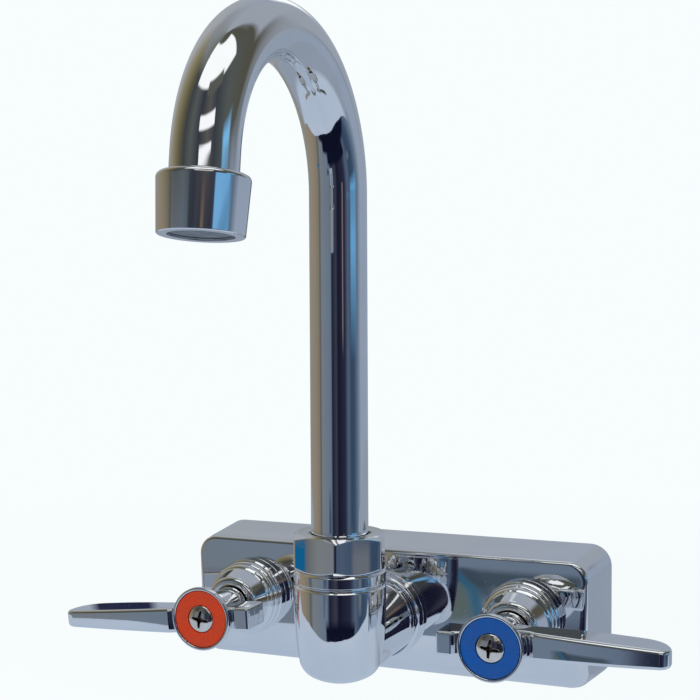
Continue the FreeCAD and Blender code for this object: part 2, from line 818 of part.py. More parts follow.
def handle_hub():
    """The turned middle of the handle: neck, flare and rim, with a recess for the index ring."""
    face = handle_face_ahead
    rim_back = face - handle_rim_length
    flare_start = rim_back - hub_flare_length
    steps = [
        (0.0, neck_end_ahead),
        (handle_neck_r - 0.4, neck_end_ahead),
        (handle_neck_r, neck_end_ahead + 0.4),
        (handle_neck_r, body_front_ahead + bonnet_length + 1.0),
        (handle_neck_r - 0.5, body_front_ahead + bonnet_length + 1.5),
        (handle_neck_r, body_front_ahead + bonnet_length + 2.0),
        (handle_neck_r, flare_start),
        (handle_neck_r + 1.1, flare_start + 0.62 * hub_flare_length, handle_rim_r, rim_back),
        (handle_rim_r, face - 0.4),
        (handle_rim_r - 0.4, face),
        (handle_rim_r - handle_rim_width, face),
        (0.0, face),
    ]
    return turned_ahead(steps)


def lever_handle(droop, side):
    """One cast handle about the axis x = 0. Side is +1 for a lever that points along +X."""
    solid = handle_hub().fuse(lever_blade()).fuse(handle_tail())
    face = handle_face_ahead
    recess_r = handle_rim_r - handle_rim_width
    solid = solid.cut(rod_ahead(recess_r, face - handle_recess_depth, face + 2.0))
    solid = solid.cut(rod_ahead(screw_head_r + 0.2, face - screw_seat_depth, face))
    solid = solid.cut(rod_ahead(screw_shank_r + 0.15, stem_end_ahead, face))
    solid = solid.cut(rod_ahead(stem_spline_r + spline_fit, neck_end_ahead - 1.0, stem_end_ahead + 0.3))
    solid = solid.removeSplitter()
    angle = droop
    if side < 0:
        solid.rotate(FreeCAD.Vector(0, 0, 0), FreeCAD.Vector(0, 1, 0), 180)
        angle = -droop
    solid.rotate(FreeCAD.Vector(0, 0, 0), FreeCAD.Vector(0, 1, 0), angle)
    return solid


def index_ring(x):
    """The coloured ring in the handle's face."""
    floor = handle_face_ahead - handle_recess_depth
    outer = handle_rim_r - handle_rim_width - index_ring_gap
    inner = screw_head_r + index_ring_gap
    top = floor + index_ring_thickness
    steps = [(inner, floor), (outer, floor), (outer, top - 0.2), (outer - 0.2, top), (inner, top)]
    return turned_ahead(steps, x)


def handle_screw(x):
    """The pan-head screw with a cross recess, down the middle of the handle."""
    seat = handle_face_ahead - screw_seat_depth
    top = seat + screw_head_height
    steps = [
        (0.0, seat - screw_length),
        (screw_shank_r - 0.4, seat - screw_length),
        (screw_shank_r, seat - screw_length + 0.6),
        (screw_shank_r, seat),
        (screw_head_r, seat),
        (screw_head_r, seat + screw_head_side),
        (screw_head_r * 0.62, top - 0.5, 0.0, top),
    ]
    screw = turned_ahead(steps, x)
    for long_x in (True, False):
        size_x = screw_slot_length if long_x else screw_slot_width
        size_z = screw_slot_width if long_x else screw_slot_length
        slot = Part.makeBox(size_x, screw_slot_depth + 1.0, size_z,
                            at(x - size_x / 2.0, top + 1.0, -size_z / 2.0))
        screw = screw.cut(slot)
    return screw


def save_side(name, x, droop, side):
    """Write the twelve pieces of one valve."""
    handle = lever_handle(droop, side)
    handle.translate(at(x, 0, 0))
    save(name + "_lever_handle", handle)
    save(name + "_index_ring", index_ring(x))
    save(name + "_handle_screw", handle_screw(x))
    save(name + "_bonnet", bonnet(x))
    save(name + "_cartridge_shell", cartridge_shell(x))
    save(name + "_valve_stem", valve_stem(x))
    save(name + "_stem_o_ring", stem_o_ring(x))
    save(name + "_stem_clip", stem_clip(x))
    save(name + "_moving_disc", moving_disc(x))
    save(name + "_fixed_disc", fixed_disc(x))
    save(name + "_seat_seal", seat_seal(x))
    save(name + "_inlet_shank", inlet_shank(x))


os.makedirs("parts", exist_ok=True)
save("valve_body", valve_body())
save("wall_gasket", wall_gasket())
save("shank_washers", shank_washers())
save("shank_locknuts", shank_locknuts())
save("elbow_collar", elbow_collar())
save("elbow_seal", elbow_seal())
save("spout_elbow", spout_elbow())
save("spout_nut", spout_nut())
save("spout_thrust_washer", thrust_washer())
save("spout_ferrule", spout_ferrule())
save("spout_o_rings", spout_o_rings())
save("gooseneck_tube", gooseneck_tube())
save("aerator_housing", aerator_housing())
save("aerator_washer", aerator_washer())
save("aerator_insert", aerator_insert())
save("aerator_screen", aerator_screen())
save_side("hot", -half_spacing, hot_lever_droop, -1)
save_side("cold", half_spacing, cold_lever_droop, 1)
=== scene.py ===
"""Splash-mount gooseneck faucet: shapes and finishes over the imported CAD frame.

Lengths in the shapes are millimetres, turned into metres when a mesh is made. The stage is in metres.
X runs along the wall, Y into the wall and Z up. "Ahead" is the distance from the wall into the room.
"""

import json
import math

import bmesh
import bpy
import numpy as np
from bpy.props import FloatProperty, FloatVectorProperty, PointerProperty
from mathutils import Matrix, Vector


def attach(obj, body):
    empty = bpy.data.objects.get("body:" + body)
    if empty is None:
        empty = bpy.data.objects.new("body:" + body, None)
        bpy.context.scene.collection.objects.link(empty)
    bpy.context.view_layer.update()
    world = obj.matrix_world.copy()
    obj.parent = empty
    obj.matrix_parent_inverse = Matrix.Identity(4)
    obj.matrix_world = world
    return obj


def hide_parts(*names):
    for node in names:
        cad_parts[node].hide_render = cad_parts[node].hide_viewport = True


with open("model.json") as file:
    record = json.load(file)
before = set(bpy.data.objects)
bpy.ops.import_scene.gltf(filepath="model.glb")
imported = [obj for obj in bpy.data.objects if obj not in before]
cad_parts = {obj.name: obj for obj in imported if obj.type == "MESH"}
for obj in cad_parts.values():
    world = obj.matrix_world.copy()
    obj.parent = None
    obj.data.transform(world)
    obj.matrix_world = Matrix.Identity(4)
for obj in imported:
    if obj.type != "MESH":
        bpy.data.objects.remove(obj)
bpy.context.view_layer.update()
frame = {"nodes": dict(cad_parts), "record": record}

bl_info = {
    "name": "Gooseneck Faucet",
    "version": (1, 0, 0),
    "blender": (4, 5, 0),
    "location": "3D View > Sidebar > Faucet",
    "description": "Builds the visible pieces and finishes of a splash-mount gooseneck faucet",
    "category": "Add Mesh",
}

MM = 0.001

# Main sizes, in millimetres and degrees. A name that ends in AHEAD, FRONT or BACK is a distance ahead of
# the wall.

HOT_X = -50.8
COLD_X = 50.8
SIDES = (("hot", HOT_X), ("cold", COLD_X))
SPOUT_AHEAD = 67.5
GASKET_FRONT = 1.5
BODY_FRONT = 29.4
COLLAR_FRONT = 34.2
HEAD_BACK = 66.8
RING_BACK = 67.9
FACE_AHEAD = 69.1
SHANK_HOLE_R = 10.75
SPIGOT_HOLE_R = 8.05
HEAD_R = 4.6
RIM_R = 10.75
LEVER_LENGTH = 54.9
LEVER_OFFSET = 1.3
BODY_SIZE = (150.0, 46.4)
BODY_CORNER_R = 7.4
BODY_CENTRE_Z = -1.3
ARM_Z = -3.0
CUP_TOP_Z = 21.2
BEND_START_Z = 141.7
BEND_R = 44.45
BEND_ANGLE = 172.5
OUTLET_LEG = 5.3
TUBE_R = 9.299
TUBE_BORE_R = 8.3
TUBE_FOOT_Z = 21.0


# Lines and seats

def bowed(start, middle, end, count=14):
    """The inner points of the circle through three points, as rows (a, b, 0).

    The centre is where the two chords' bisectors meet; the points are the radius turned evenly round it.
    """
    a, b, c = (np.asarray(p, float) for p in (start, middle, end))
    rows = 2.0 * np.array([b - a, c - b])
    centre = np.linalg.solve(rows, np.array([b @ b - a @ a, c @ c - b @ b]))
    turn = [math.atan2(*(p - centre)[::-1]) for p in (a, b, c)]
    first = (turn[1] - turn[0] + math.pi) % (2 * math.pi) - math.pi
    second = (turn[2] - turn[1] + math.pi) % (2 * math.pi) - math.pi
    angle = turn[0] + (first + second) * np.linspace(0, 1, count + 2)[1:-1]
    radius = np.linalg.norm(a - centre)
    return np.c_[centre[0] + radius * np.cos(angle), centre[1] + radius * np.sin(angle), np.zeros(count)]


def softened(corners, steps=4, hold=0.06):
    """A line whose corners (a, b, radius) are rounded, as points (a, b).

    Each corner gives way to a circular arc: the weighted quadratic between the two points where the
    circle touches the line, the corner's weight being the sine of half its angle. A point just before
    and after each arc keeps the flats between them even.
    """
    rows = np.asarray(corners, float)
    point, radius = rows[:, :2], rows[:, 2]
    back = np.roll(point, 1, 0) - point
    on = np.roll(point, -1, 0) - point
    back_length = np.linalg.norm(back, axis=1)
    on_length = np.linalg.norm(on, axis=1)
    back = back / back_length[:, None]
    on = on / on_length[:, None]
    half = 0.5 * np.arccos(np.clip((back * on).sum(1), -0.999999, 0.999999))
    reach = np.minimum(radius / np.tan(half), 0.42 * np.minimum(back_length, on_length))
    keep = np.where(radius > 0, hold, 0.0)
    s = np.linspace(0, 1, steps + 1)[None, :, None]
    weight = np.sin(half)[:, None, None]
    first = (point + back * reach[:, None])[:, None]
    last = (point + on * reach[:, None])[:, None]
    top = (1 - s) ** 2 * first + 2 * s * (1 - s) * weight * point[:, None] + s ** 2 * last
    arc = top / ((1 - s) ** 2 + 2 * s * (1 - s) * weight + s ** 2)
    before = first + (back * keep[:, None])[:, None]
    after = last + (on * keep[:, None])[:, None]
    line = np.concatenate([before, arc, after], 1).reshape(-1, 2)
    apart = np.linalg.norm(np.diff(line, axis=0), axis=1) > 1e-7
    return line[np.r_[True, apart]]


def profile(steps):
    """A softened line from steps: a corner (a, b, radius), or an arc (middle a, middle b, a, b, radius)."""
    rows = []
    for step in steps:
        if len(step) == 5:
            rows.append(bowed(rows[-1][-1][:2], step[:2], step[2:4]))
            step = step[2:]
        rows.append(np.array([step], float))
    return softened(np.vstack(rows))


def seat(origin, across, aside, along):
    """A place to turn or set a shape on: its origin and three directions."""
    return tuple(np.asarray(v, float) for v in (origin, across, aside, along))


def ahead_seat(x, z=0.0):
    """A seat whose axis stands square to the wall."""
    return seat((x, 0, z), (1, 0, 0), (0, 0, 1), (0, -1, 0))


def upright_seat(x, ahead):
    """A seat whose axis is upright."""
    return seat((x, -ahead, 0), (1, 0, 0), (0, 1, 0), (0, 0, 1))


def outlet_seat():
    """The seat of the aerator: its axis runs up the outlet leg from the aerator's top."""
    turn = math.radians(BEND_ANGLE)
    down = np.array([0.0, -math.sin(turn), math.cos(turn)])
    ahead = SPOUT_AHEAD + BEND_R * (1 - math.cos(turn))
    end = np.array([0.0, -ahead, BEND_START_Z + BEND_R * math.sin(turn)])
    return seat(end + down * OUTLET_LEG, (1, 0, 0), np.cross(-down, (1, 0, 0)), -down)


# Shells

def grid_shell(points, ring=True):
    """A net of points (row, column) as (vertices, faces). Columns close on themselves, rows too in a ring."""
    rows, columns = points.shape[:2]
    number = np.arange(rows * columns).reshape(rows, columns)
    lower = number if ring else number[:-1]
    upper = np.roll(number, -1, 0) if ring else number[1:]
    faces = np.stack([lower, np.roll(lower, -1, 1), np.roll(upper, -1, 1), upper], -1)
    return points.reshape(-1, 3), faces.reshape(-1, 4).tolist()


def capped_shell(points):
    """A net whose first and last rows are closed with one flat face each."""
    vertices, faces = grid_shell(points, False)
    rows, columns = points.shape[:2]
    first = np.arange(columns)
    return vertices, faces + [first[::-1].tolist(), (first + (rows - 1) * columns).tolist()]


def turned(line, place, count=96, ring=True):
    """A line turned round a seat's axis.

    Each point (radius, height) becomes origin + radius (cos t across + sin t aside) + height along.
    """
    origin, across, aside, along = place
    turn = np.linspace(0, 2 * math.pi, count, endpoint=False)
    spoke = np.cos(turn)[:, None] * across + np.sin(turn)[:, None] * aside
    points = origin + line[:, 0, None, None] * spoke + line[:, 1, None, None] * along
    return grid_shell(points, ring)


def add_object(name, data):
    """Put a new object into the scene."""
    made = bpy.data.objects.new(name, data)
    bpy.context.scene.collection.objects.link(made)
    return made


def make_piece(name, body, slot, shells, stands_for, sharp=30.0):
    """Join closed shells (in millimetres) into one piece that rides on a body and stands for CAD nodes."""
    vertices, faces, base = [], [], 0
    for points, polygons in shells:
        vertices.append(points)
        faces.extend([[i + base for i in polygon] for polygon in polygons])
        base += len(points)
    mesh = bpy.data.meshes.new(name)
    mesh.from_pydata((np.vstack(vertices) * MM).tolist(), [], faces)
    net = bmesh.new()
    net.from_mesh(mesh)
    bmesh.ops.remove_doubles(net, verts=net.verts, dist=2e-7)
    bmesh.ops.recalc_face_normals(net, faces=net.faces)
    net.to_mesh(mesh)
    net.free()
    mesh.shade_smooth()
    mesh.set_sharp_from_angle(angle=math.radians(sharp))
    piece = add_object(name, mesh)
    mesh.materials.append(finish_for(slot))
    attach(piece, body)
    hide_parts(*stands_for)
    return piece


# Node trees

def colour(rgb):
    """A screen colour (0 to 255) as the light it stands for."""
    part = np.asarray(rgb, float) / 255.0
    return tuple(np.where(part <= 0.04045, part / 12.92, ((part + 0.055) / 1.055) ** 2.4))


def new_node(tree, kind, inputs, **settings):
    """Add a node with its settings, and link or set each of its inputs, by name or number."""
    node = tree.nodes.new(kind)
    for name, value in settings.items():
        setattr(node, name, value)
    for name, value in inputs.items():
        if isinstance(value, bpy.types.NodeSocket):
            tree.links.new(value, node.inputs[name])
        else:
            node.inputs[name].default_value = value
    return node


def arithmetic(tree, operation, *values, clamp=False):
    """One step of arithmetic between sockets or numbers."""
    inputs = dict(enumerate(values))
    return new_node(tree, "ShaderNodeMath", inputs, operation=operation, use_clamp=clamp).outputs[0]


def laid_over(tree, below, mask, above):
    """Lay a colour (red, green, blue, 1) or a socket over another one by a mask."""
    mix = new_node(tree, "ShaderNodeMix", {"Factor": mask, "A": below, "B": above}, data_type="RGBA")
    return mix.outputs["Result"]


def object_place(tree):
    """The coordinates that every pattern reads: a point's place in its own object."""
    return tree.nodes.new("ShaderNodeTexCoord").outputs["Object"]


def new_group(name, inputs, outputs):
    """An empty shader node group, with the sockets of its start and its end.

    Its inputs are given as (name, kind, default) and its outputs, which are all numbers, by name.
    """
    group = bpy.data.node_groups.new(name, "ShaderNodeTree")
    for label, kind, default in inputs:
        made = group.interface.new_socket(name=label, in_out="INPUT", socket_type="NodeSocket" + kind)
        made.default_value = default
    for label in outputs:
        group.interface.new_socket(name=label, in_out="OUTPUT", socket_type="NodeSocketFloat")
    start = group.nodes.new("NodeGroupInput")
    end = group.nodes.new("NodeGroupOutput")
    return group, start.outputs, end.inputs


def fine_marks_group():
    """Soft cloud noise, drawn out into rubbing lines by a stretch.

    The mask runs from 0 to 1, and the value from Low to High with it.
    """
    group, start, end = new_group("fine_marks", (
        ("Vector", "Vector", (0.0, 0.0, 0.0)), ("Scale", "Float", 200.0),
        ("Stretch", "Vector", (1.0, 1.0, 1.0)), ("Low", "Float", 0.0), ("High", "Float", 1.0)),
        ("Mask", "Value"))
    stretch = new_node(group, "ShaderNodeVectorMath", {0: start["Vector"], 1: start["Stretch"]},
                       operation="MULTIPLY")
    cloud = new_node(group, "ShaderNodeTexNoise",
                     {"Detail": 4.0, "Vector": stretch.outputs[0], "Scale": start["Scale"]})
    mask = new_node(group, "ShaderNodeMapRange",
                    {"From Min": 0.32, "From Max": 0.68, "Value": cloud.outputs["Fac"]}).outputs[0]
    value = new_node(group, "ShaderNodeMapRange",
                     {"Value": mask, "To Min": start["Low"], "To Max": start["High"]})
    group.links.new(mask, end["Mask"])
    group.links.new(value.outputs[0], end["Value"])
    return group


def dry_spots_group():
    """Dried water spots: small round marks with soft edges, in about a quarter of the cells, as a mask."""
    group, start, end = new_group("dry_spots", (
        ("Vector", "Vector", (0.0, 0.0, 0.0)), ("Scale", "Float", 300.0), ("Size", "Float", 0.16)), ("Mask",))
    cells = new_node(group, "ShaderNodeTexVoronoi", {"Vector": start["Vector"], "Scale": start["Scale"]})
    near = new_node(group, "ShaderNodeMapRange",
                    {"From Min": 0.0, "To Min": 1.0, "To Max": 0.0, "Value": cells.outputs["Distance"],
                     "From Max": start["Size"]}, interpolation_type="SMOOTHSTEP")
    split = new_node(group, "ShaderNodeSeparateColor", {0: cells.outputs["Color"]})
    some = arithmetic(group, "GREATER_THAN", split.outputs[0], 0.72)
    group.links.new(arithmetic(group, "MULTIPLY", near.outputs[0], some), end["Mask"])
    return group


SHARED_GROUPS = {"fine_marks": fine_marks_group, "dry_spots": dry_spots_group}


def place_group(tree, name, where, **values):
    """Put a shared group into a tree with its own values. The group is made the first time it is placed."""
    group = bpy.data.node_groups.get(name) or SHARED_GROUPS[name]()
    return new_node(tree, "ShaderNodeGroup", {"Vector": where, **values}, node_tree=group)


def marks_mask(tree, where, **values):
    """Place the fine marks, and give back their mask alone."""
    return place_group(tree, "fine_marks", where, **values).outputs["Mask"]


# Finishes

def new_material(name, shade, metallic, roughness):
    """A material with its tree, its shader and the coordinates that its patterns read."""
    material = bpy.data.materials.new(name)
    material.use_nodes = True
    tree = material.node_tree
    shader = tree.nodes["Principled BSDF"]
    shader.inputs["Base Color"].default_value = (*shade, 1.0)
    shader.inputs["Metallic"].default_value = metallic
    shader.inputs["Roughness"].default_value = roughness
    material.diffuse_color = (*shade, 1.0)
    return material, tree, shader, object_place(tree)


def uneven_shine(tree, shader, where, low, high, **values):
    """Let the shader's roughness run from low to high with the fine marks, and give back their mask."""
    marks = place_group(tree, "fine_marks", where, Low=low, High=high, **values)
    tree.links.new(marks.outputs["Value"], shader.inputs["Roughness"])
    return marks.outputs["Mask"]


def tone(tree, shader, mask, first, second):
    """Colour the shader between two shades by a mask."""
    tree.links.new(laid_over(tree, (*first, 1.0), mask, (*second, 1.0)), shader.inputs["Base Color"])


def shade_times(shade, share):
    """A shade with its light taken times a share."""
    return tuple(part * share for part in shade)


def relief(tree, shader, height, depth, strength):
    """Raise the surface by a height, up to a depth in metres."""
    bump = new_node(tree, "ShaderNodeBump", {"Strength": strength, "Distance": depth, "Height": height})
    tree.links.new(bump.outputs["Normal"], shader.inputs["Normal"])


def polished_chrome():
    """Bright chrome with faint wiping marks, dried spots and the slight waviness of a polished casting."""
    finish = bpy.context.scene.faucet_finishes
    shade = tuple(finish.chrome)
    low, high = finish.chrome_roughness * 0.7, finish.chrome_roughness * 1.5
    material, tree, shader, where = new_material("polished_chrome", shade, 1.0, finish.chrome_roughness)
    marks = place_group(tree, "fine_marks", where, Scale=60.0, Low=low, High=high)
    spots = place_group(tree, "dry_spots", where, Scale=420.0, Size=0.2)
    rough = arithmetic(tree, "MULTIPLY_ADD", spots.outputs["Mask"], 0.16, marks.outputs["Value"])
    tree.links.new(rough, shader.inputs["Roughness"])
    tone(tree, shader, marks.outputs["Mask"], shade, shade_times(shade, 0.95))
    relief(tree, shader, marks_mask(tree, where, Scale=45.0), 0.00002, 0.35)
    return material


def gasket_foam():
    """Dark closed-cell foam: fine pores in a slightly mottled grey."""
    shade = tuple(bpy.context.scene.faucet_finishes.foam)
    material, tree, shader, where = new_material("gasket_foam", shade, 0.0, 0.9)
    cells = new_node(tree, "ShaderNodeTexVoronoi", {"Scale": 2600.0, "Vector": where})
    relief(tree, shader, cells.outputs["Distance"], 0.00025, 0.8)
    mask = uneven_shine(tree, shader, where, 0.8, 0.98, Scale=180.0)
    tone(tree, shader, mask, shade, shade_times(shade, 1.7))
    return material


def zinc_steel():
    """Zinc-plated steel: a cool grey with the small uneven crystals of the plating."""
    shade = colour((176, 181, 186))
    material, tree, shader, where = new_material("zinc_steel", shade, 1.0, 0.35)
    cells = new_node(tree, "ShaderNodeTexVoronoi", {"Scale": 620.0, "Vector": where})
    split = new_node(tree, "ShaderNodeSeparateColor", {0: cells.outputs["Color"]})
    tone(tree, shader, split.outputs[0], shade, colour((206, 208, 204)))
    uneven_shine(tree, shader, where, 0.26, 0.5, Scale=900.0)
    relief(tree, shader, split.outputs[1], 0.00003, 0.5)
    return material


def plain_brass():
    """Turned brass: yellow metal with fine rings and a little tarnish."""
    shade = tuple(bpy.context.scene.faucet_finishes.brass)
    material, tree, shader, where = new_material("plain_brass", shade, 1.0, 0.28)
    mask = uneven_shine(tree, shader, where, 0.2, 0.42, Scale=110.0)
    tone(tree, shader, mask, shade, colour((166, 128, 66)))
    relief(tree, shader, marks_mask(tree, where, Scale=900.0, Stretch=(0.15, 3.0, 0.15)), 0.00004, 0.5)
    return material


def seal_rubber():
    """Black moulded rubber with a faint bloom."""
    shade = colour((30, 30, 32))
    material, tree, shader, where = new_material("seal_rubber", shade, 0.0, 0.6)
    mask = uneven_shine(tree, shader, where, 0.5, 0.78, Scale=520.0)
    tone(tree, shader, mask, shade, colour((52, 52, 55)))
    relief(tree, shader, mask, 0.00003, 0.4)
    return material


def moulded_plastic(name, shade, other):
    """Moulded acetal: nearly plain, with a fine spark-eroded grain and slight flow marks."""
    material, tree, shader, where = new_material(name, shade, 0.0, 0.4)
    mask = uneven_shine(tree, shader, where, 0.32, 0.48, Scale=90.0)
    tone(tree, shader, mask, shade, other)
    relief(tree, shader, marks_mask(tree, where, Scale=2400.0), 0.00002, 0.5)
    return material


def washer_plastic():
    """White acetal of the thrust washer."""
    return moulded_plastic("washer_plastic", colour((226, 226, 220)), colour((212, 212, 205)))


def insert_plastic():
    """Pale grey acetal of the aerator's insert."""
    return moulded_plastic("insert_plastic", colour((200, 204, 206)), colour((184, 189, 192)))


def drawn_steel(name, shade, other, low, high, stretch):
    """Stainless or plated steel with fine drawing lines along one direction."""
    material, tree, shader, where = new_material(name, shade, 1.0, 0.5 * (low + high))
    mask = uneven_shine(tree, shader, where, low, high, Scale=700.0, Stretch=stretch)
    tone(tree, shader, marks_mask(tree, where, Scale=260.0), shade, other)
    relief(tree, shader, mask, 0.00003, 0.4)
    return material


def screen_steel():
    """The stainless wire of the screen."""
    return drawn_steel("screen_steel", colour((196, 199, 204)), colour((182, 186, 192)), 0.5, 0.65, (1, 1, 1))


def screw_steel():
    """Nickel-plated steel, slightly yellow where hands have worn it, with painted shade in the driver's
    recess.

    The painted shade is laid over by the piece's own recess attribute, which is 0 on the dome and 1 in the
    recess.
    """
    plated, worn, recess_shade = (colour(rgb) for rgb in ((240, 236, 232), (226, 217, 206), (104, 86, 74)))
    material = drawn_steel("screw_steel", plated, worn, 0.08, 0.16, (1, 0.3, 1))
    tree = material.node_tree
    base = tree.nodes["Principled BSDF"].inputs["Base Color"]
    recess = new_node(tree, "ShaderNodeAttribute", {}, attribute_name="recess")
    # Painted shade: a dark brown laid over the steel down in the driver's recess, deeper where the recess is
    # deeper.
    tree.links.new(laid_over(tree, base.links[0].from_socket, recess.outputs["Fac"], (*recess_shade, 1.0)), base)
    return material


def disc_ceramic():
    """Polished alumina: cream white with very fine specks."""
    shade = colour((236, 232, 222))
    material, tree, shader, where = new_material("disc_ceramic", shade, 0.0, 0.12)
    specks = place_group(tree, "dry_spots", where, Scale=1500.0, Size=0.3)
    tone(tree, shader, specks.outputs["Mask"], shade, colour((205, 200, 190)))
    uneven_shine(tree, shader, where, 0.08, 0.2, Scale=300.0)
    return material


def index_enamel(name, shade):
    """Glossy enamel on a moulded ring: even colour with a faint cloud, soft waviness and a few rubs."""
    material, tree, shader, where = new_material(name, shade, 0.0, 0.3)
    shader.inputs["Specular IOR Level"].default_value = 0.35
    mask = uneven_shine(tree, shader, where, 0.22, 0.42, Scale=160.0)
    tone(tree, shader, mask, shade, shade_times(shade, 0.86))
    relief(tree, shader, mask, 0.00003, 0.4)
    return material


def hot_index_enamel():
    """Red enamel of the hot side."""
    return index_enamel("hot_index_enamel", tuple(bpy.context.scene.faucet_finishes.hot))


def cold_index_enamel():
    """Blue enamel of the cold side."""
    return index_enamel("cold_index_enamel", tuple(bpy.context.scene.faucet_finishes.cold))


FINISHES = {make.__name__: make for make in (
    polished_chrome, gasket_foam, zinc_steel, plain_brass, seal_rubber, washer_plastic, insert_plastic,
    screen_steel, screw_steel, disc_ceramic, hot_index_enamel, cold_index_enamel)}
made_finishes = {}


def finish_for(slot):
    """The one material of a slot, made the first time that it is asked for."""
    if slot not in made_finishes:
        made_finishes[slot] = FINISHES[slot]()
    return made_finishes[slot]


# Shapes

def rounded_rectangle(width, height, corner):
    """A rectangle about the origin with round corners, as points (x, z)."""
    a, b = width / 2.0, height / 2.0
    return softened([(-a, -b, corner), (a, -b, corner), (a, b, corner), (-a, b, corner)], 10, 0.3)


def body_outline(shrink, ahead):
    """The casting's outline at one distance from the wall, less an inset, as points (x, z) about its middle.

    The width, height and corner shrink evenly with the distance, which is the draft of the casting.
    """
    t = (ahead - GASKET_FRONT) / (BODY_FRONT - GASKET_FRONT)
    width, height = BODY_SIZE
    return rounded_rectangle(width - 2 * (2.3 * t + shrink), height - 2 * (1.6 * t + shrink),
                             BODY_CORNER_R - 0.8 * t - 0.55 * shrink)


def body_shells():
    """The drafted cover with its rounded front, open behind, and the bosses and passage inside it.

    The front edge is a quarter circle in section, wider below than above. Inside it the outline closes in
    evenly on the middle line. The face is flat from 3 mm below the middle to 10 mm above it, and beyond
    these lines it falls back by 0.0028 times the square of the distance from them.
    """
    inner = 3.6
    inset = (inner, inner, inner - 0.3, 0.3, 0.0, 0.0, 0.0)
    back = GASKET_FRONT
    ahead = (BODY_FRONT - inner, back + 0.3, back, back, back + 0.3, 14.0, BODY_FRONT - 6.0)
    rim = body_outline(0.0, BODY_FRONT)
    rows = [np.c_[body_outline(shrink, level), np.full(len(rim), level)]
            for shrink, level in zip(inset, ahead)]
    front_row = len(rows)
    edge = (2.5 - 1.3 * rim[:, 1] / rim[:, 1].max())[:, None]
    inward = body_outline(1.0, BODY_FRONT) - rim
    flat = rim + inward * edge
    spine = np.c_[np.clip(flat[:, 0], -52.0, 52.0), 0.0 * flat[:, 1]]
    rows.append(np.c_[rim, BODY_FRONT - edge - 0.3])
    for t in np.linspace(0, math.pi / 2, 9):
        rows.append(np.c_[rim + inward * edge * (1 - math.cos(t)), BODY_FRONT - edge * (1 - math.sin(t))])
    for t in np.r_[0.03, np.linspace(0.08, 0.96, 12)]:
        rows.append(np.c_[flat + (spine - flat) * t, np.full(len(flat), BODY_FRONT)])
    rows = np.array(rows)
    level = rows[front_row:, :, 1]
    beyond = np.where(level < 0, np.minimum(level + 3.0, 0), np.maximum(level - 10, 0))
    rows[front_row:, :, 2] -= 0.0028 * beyond ** 2
    shells = [capped_shell(np.stack([rows[..., 0], -rows[..., 2], rows[..., 1] + BODY_CENTRE_Z], -1))]
    cartridge_boss = profile([
        (SHANK_HOLE_R, 1.6, 0.2), (13.2, 1.6, 0.2), (13.2, 27.6, 0.0), (9.0, 27.6, 0.0), (9.0, 10.0, 0.1),
        (4.2, 10.0, 0.1), (4.2, 8.0, 0.1), (SHANK_HOLE_R, 8.0, 0.1)])
    bonnet_spigot = profile([(9.0, 26.0, 0.1), (11.2, 26.0, 0.1), (11.2, 36.0, 0.3), (9.0, 36.0, 0.3)])
    for x in (HOT_X, COLD_X):
        shells += [turned(cartridge_boss, ahead_seat(x)), turned(bonnet_spigot, ahead_seat(x))]
    spout_boss = profile([
        (SPIGOT_HOLE_R, 12.0, 0.1), (10.8, 12.0, 0.1), (10.8, 28.0, 0.1), (SPIGOT_HOLE_R, 28.0, 0.1)])
    passage = profile([(4.5, -40.0, 0.1), (7.3, -40.0, 0.1), (7.3, 40.0, 0.1), (4.5, 40.0, 0.1)])
    run = seat((0, -19.0, 0), (0, 1, 0), (0, 0, 1), (1, 0, 0))
    return shells + [turned(spout_boss, ahead_seat(0, ARM_Z)), turned(passage, run, 64)]


def gasket_shells():
    """The foam sheet with slightly crushed edges and its two shank holes, as two halves that meet at X = 0.

    Round each hole a net runs from the circle to the half's own outline: each point of the outline is
    carried to the circle along the straight line to the hole's centre.
    """
    inset, hole_r = 1.3, 11.3
    half_x, half_z = 0.5 * BODY_SIZE[0] - inset, 0.5 * BODY_SIZE[1] - inset
    whole = rounded_rectangle(2 * half_x, 2 * half_z, BODY_CORNER_R - inset)
    path = np.vstack([[0, -half_z], whole[whole[:, 0] > 0], [0, half_z]])
    length = np.r_[0, np.cumsum(np.linalg.norm(np.diff(path, axis=0), axis=1))]
    along = np.linspace(0, length[-1], 150)
    edge = np.c_[np.interp(along, length, path[:, 0]), np.interp(along, length, path[:, 1])]
    seam = np.c_[np.zeros(28), np.linspace(half_z, -half_z, 30)[1:-1]]
    outline = np.vstack([edge, seam])
    centre = np.array([COLD_X, -BODY_CENTRE_Z])
    spoke = outline - centre
    distance = np.linalg.norm(spoke, axis=1)[:, None]
    crush = np.array([0.35, 0.1, 0.0, 0.0, 0.1, 0.35])
    back = np.array([0.02, 0.12, 0.4, 1.1, 1.38, 1.48])
    outside = outline[None] * (1 - crush[:, None, None] / [half_x, half_z])
    inside = (centre + hole_r * spoke / distance)[None] + (spoke / distance)[None] * crush[:, None, None]
    flat = np.concatenate([outside, inside[::-1]])
    depth = np.repeat(np.r_[back, back[::-1]][:, None], len(outline), 1)
    shells = []
    for side in (-1, 1):
        points = np.stack([side * flat[..., 0], -depth, flat[..., 1] + BODY_CENTRE_Z], -1)
        vertices, faces = grid_shell(points)
        on_seam = np.abs(vertices[np.array(faces), 0]).max(1) < 1e-6
        shells.append((vertices, [face for face, drop in zip(faces, on_seam) if not drop]))
    return shells


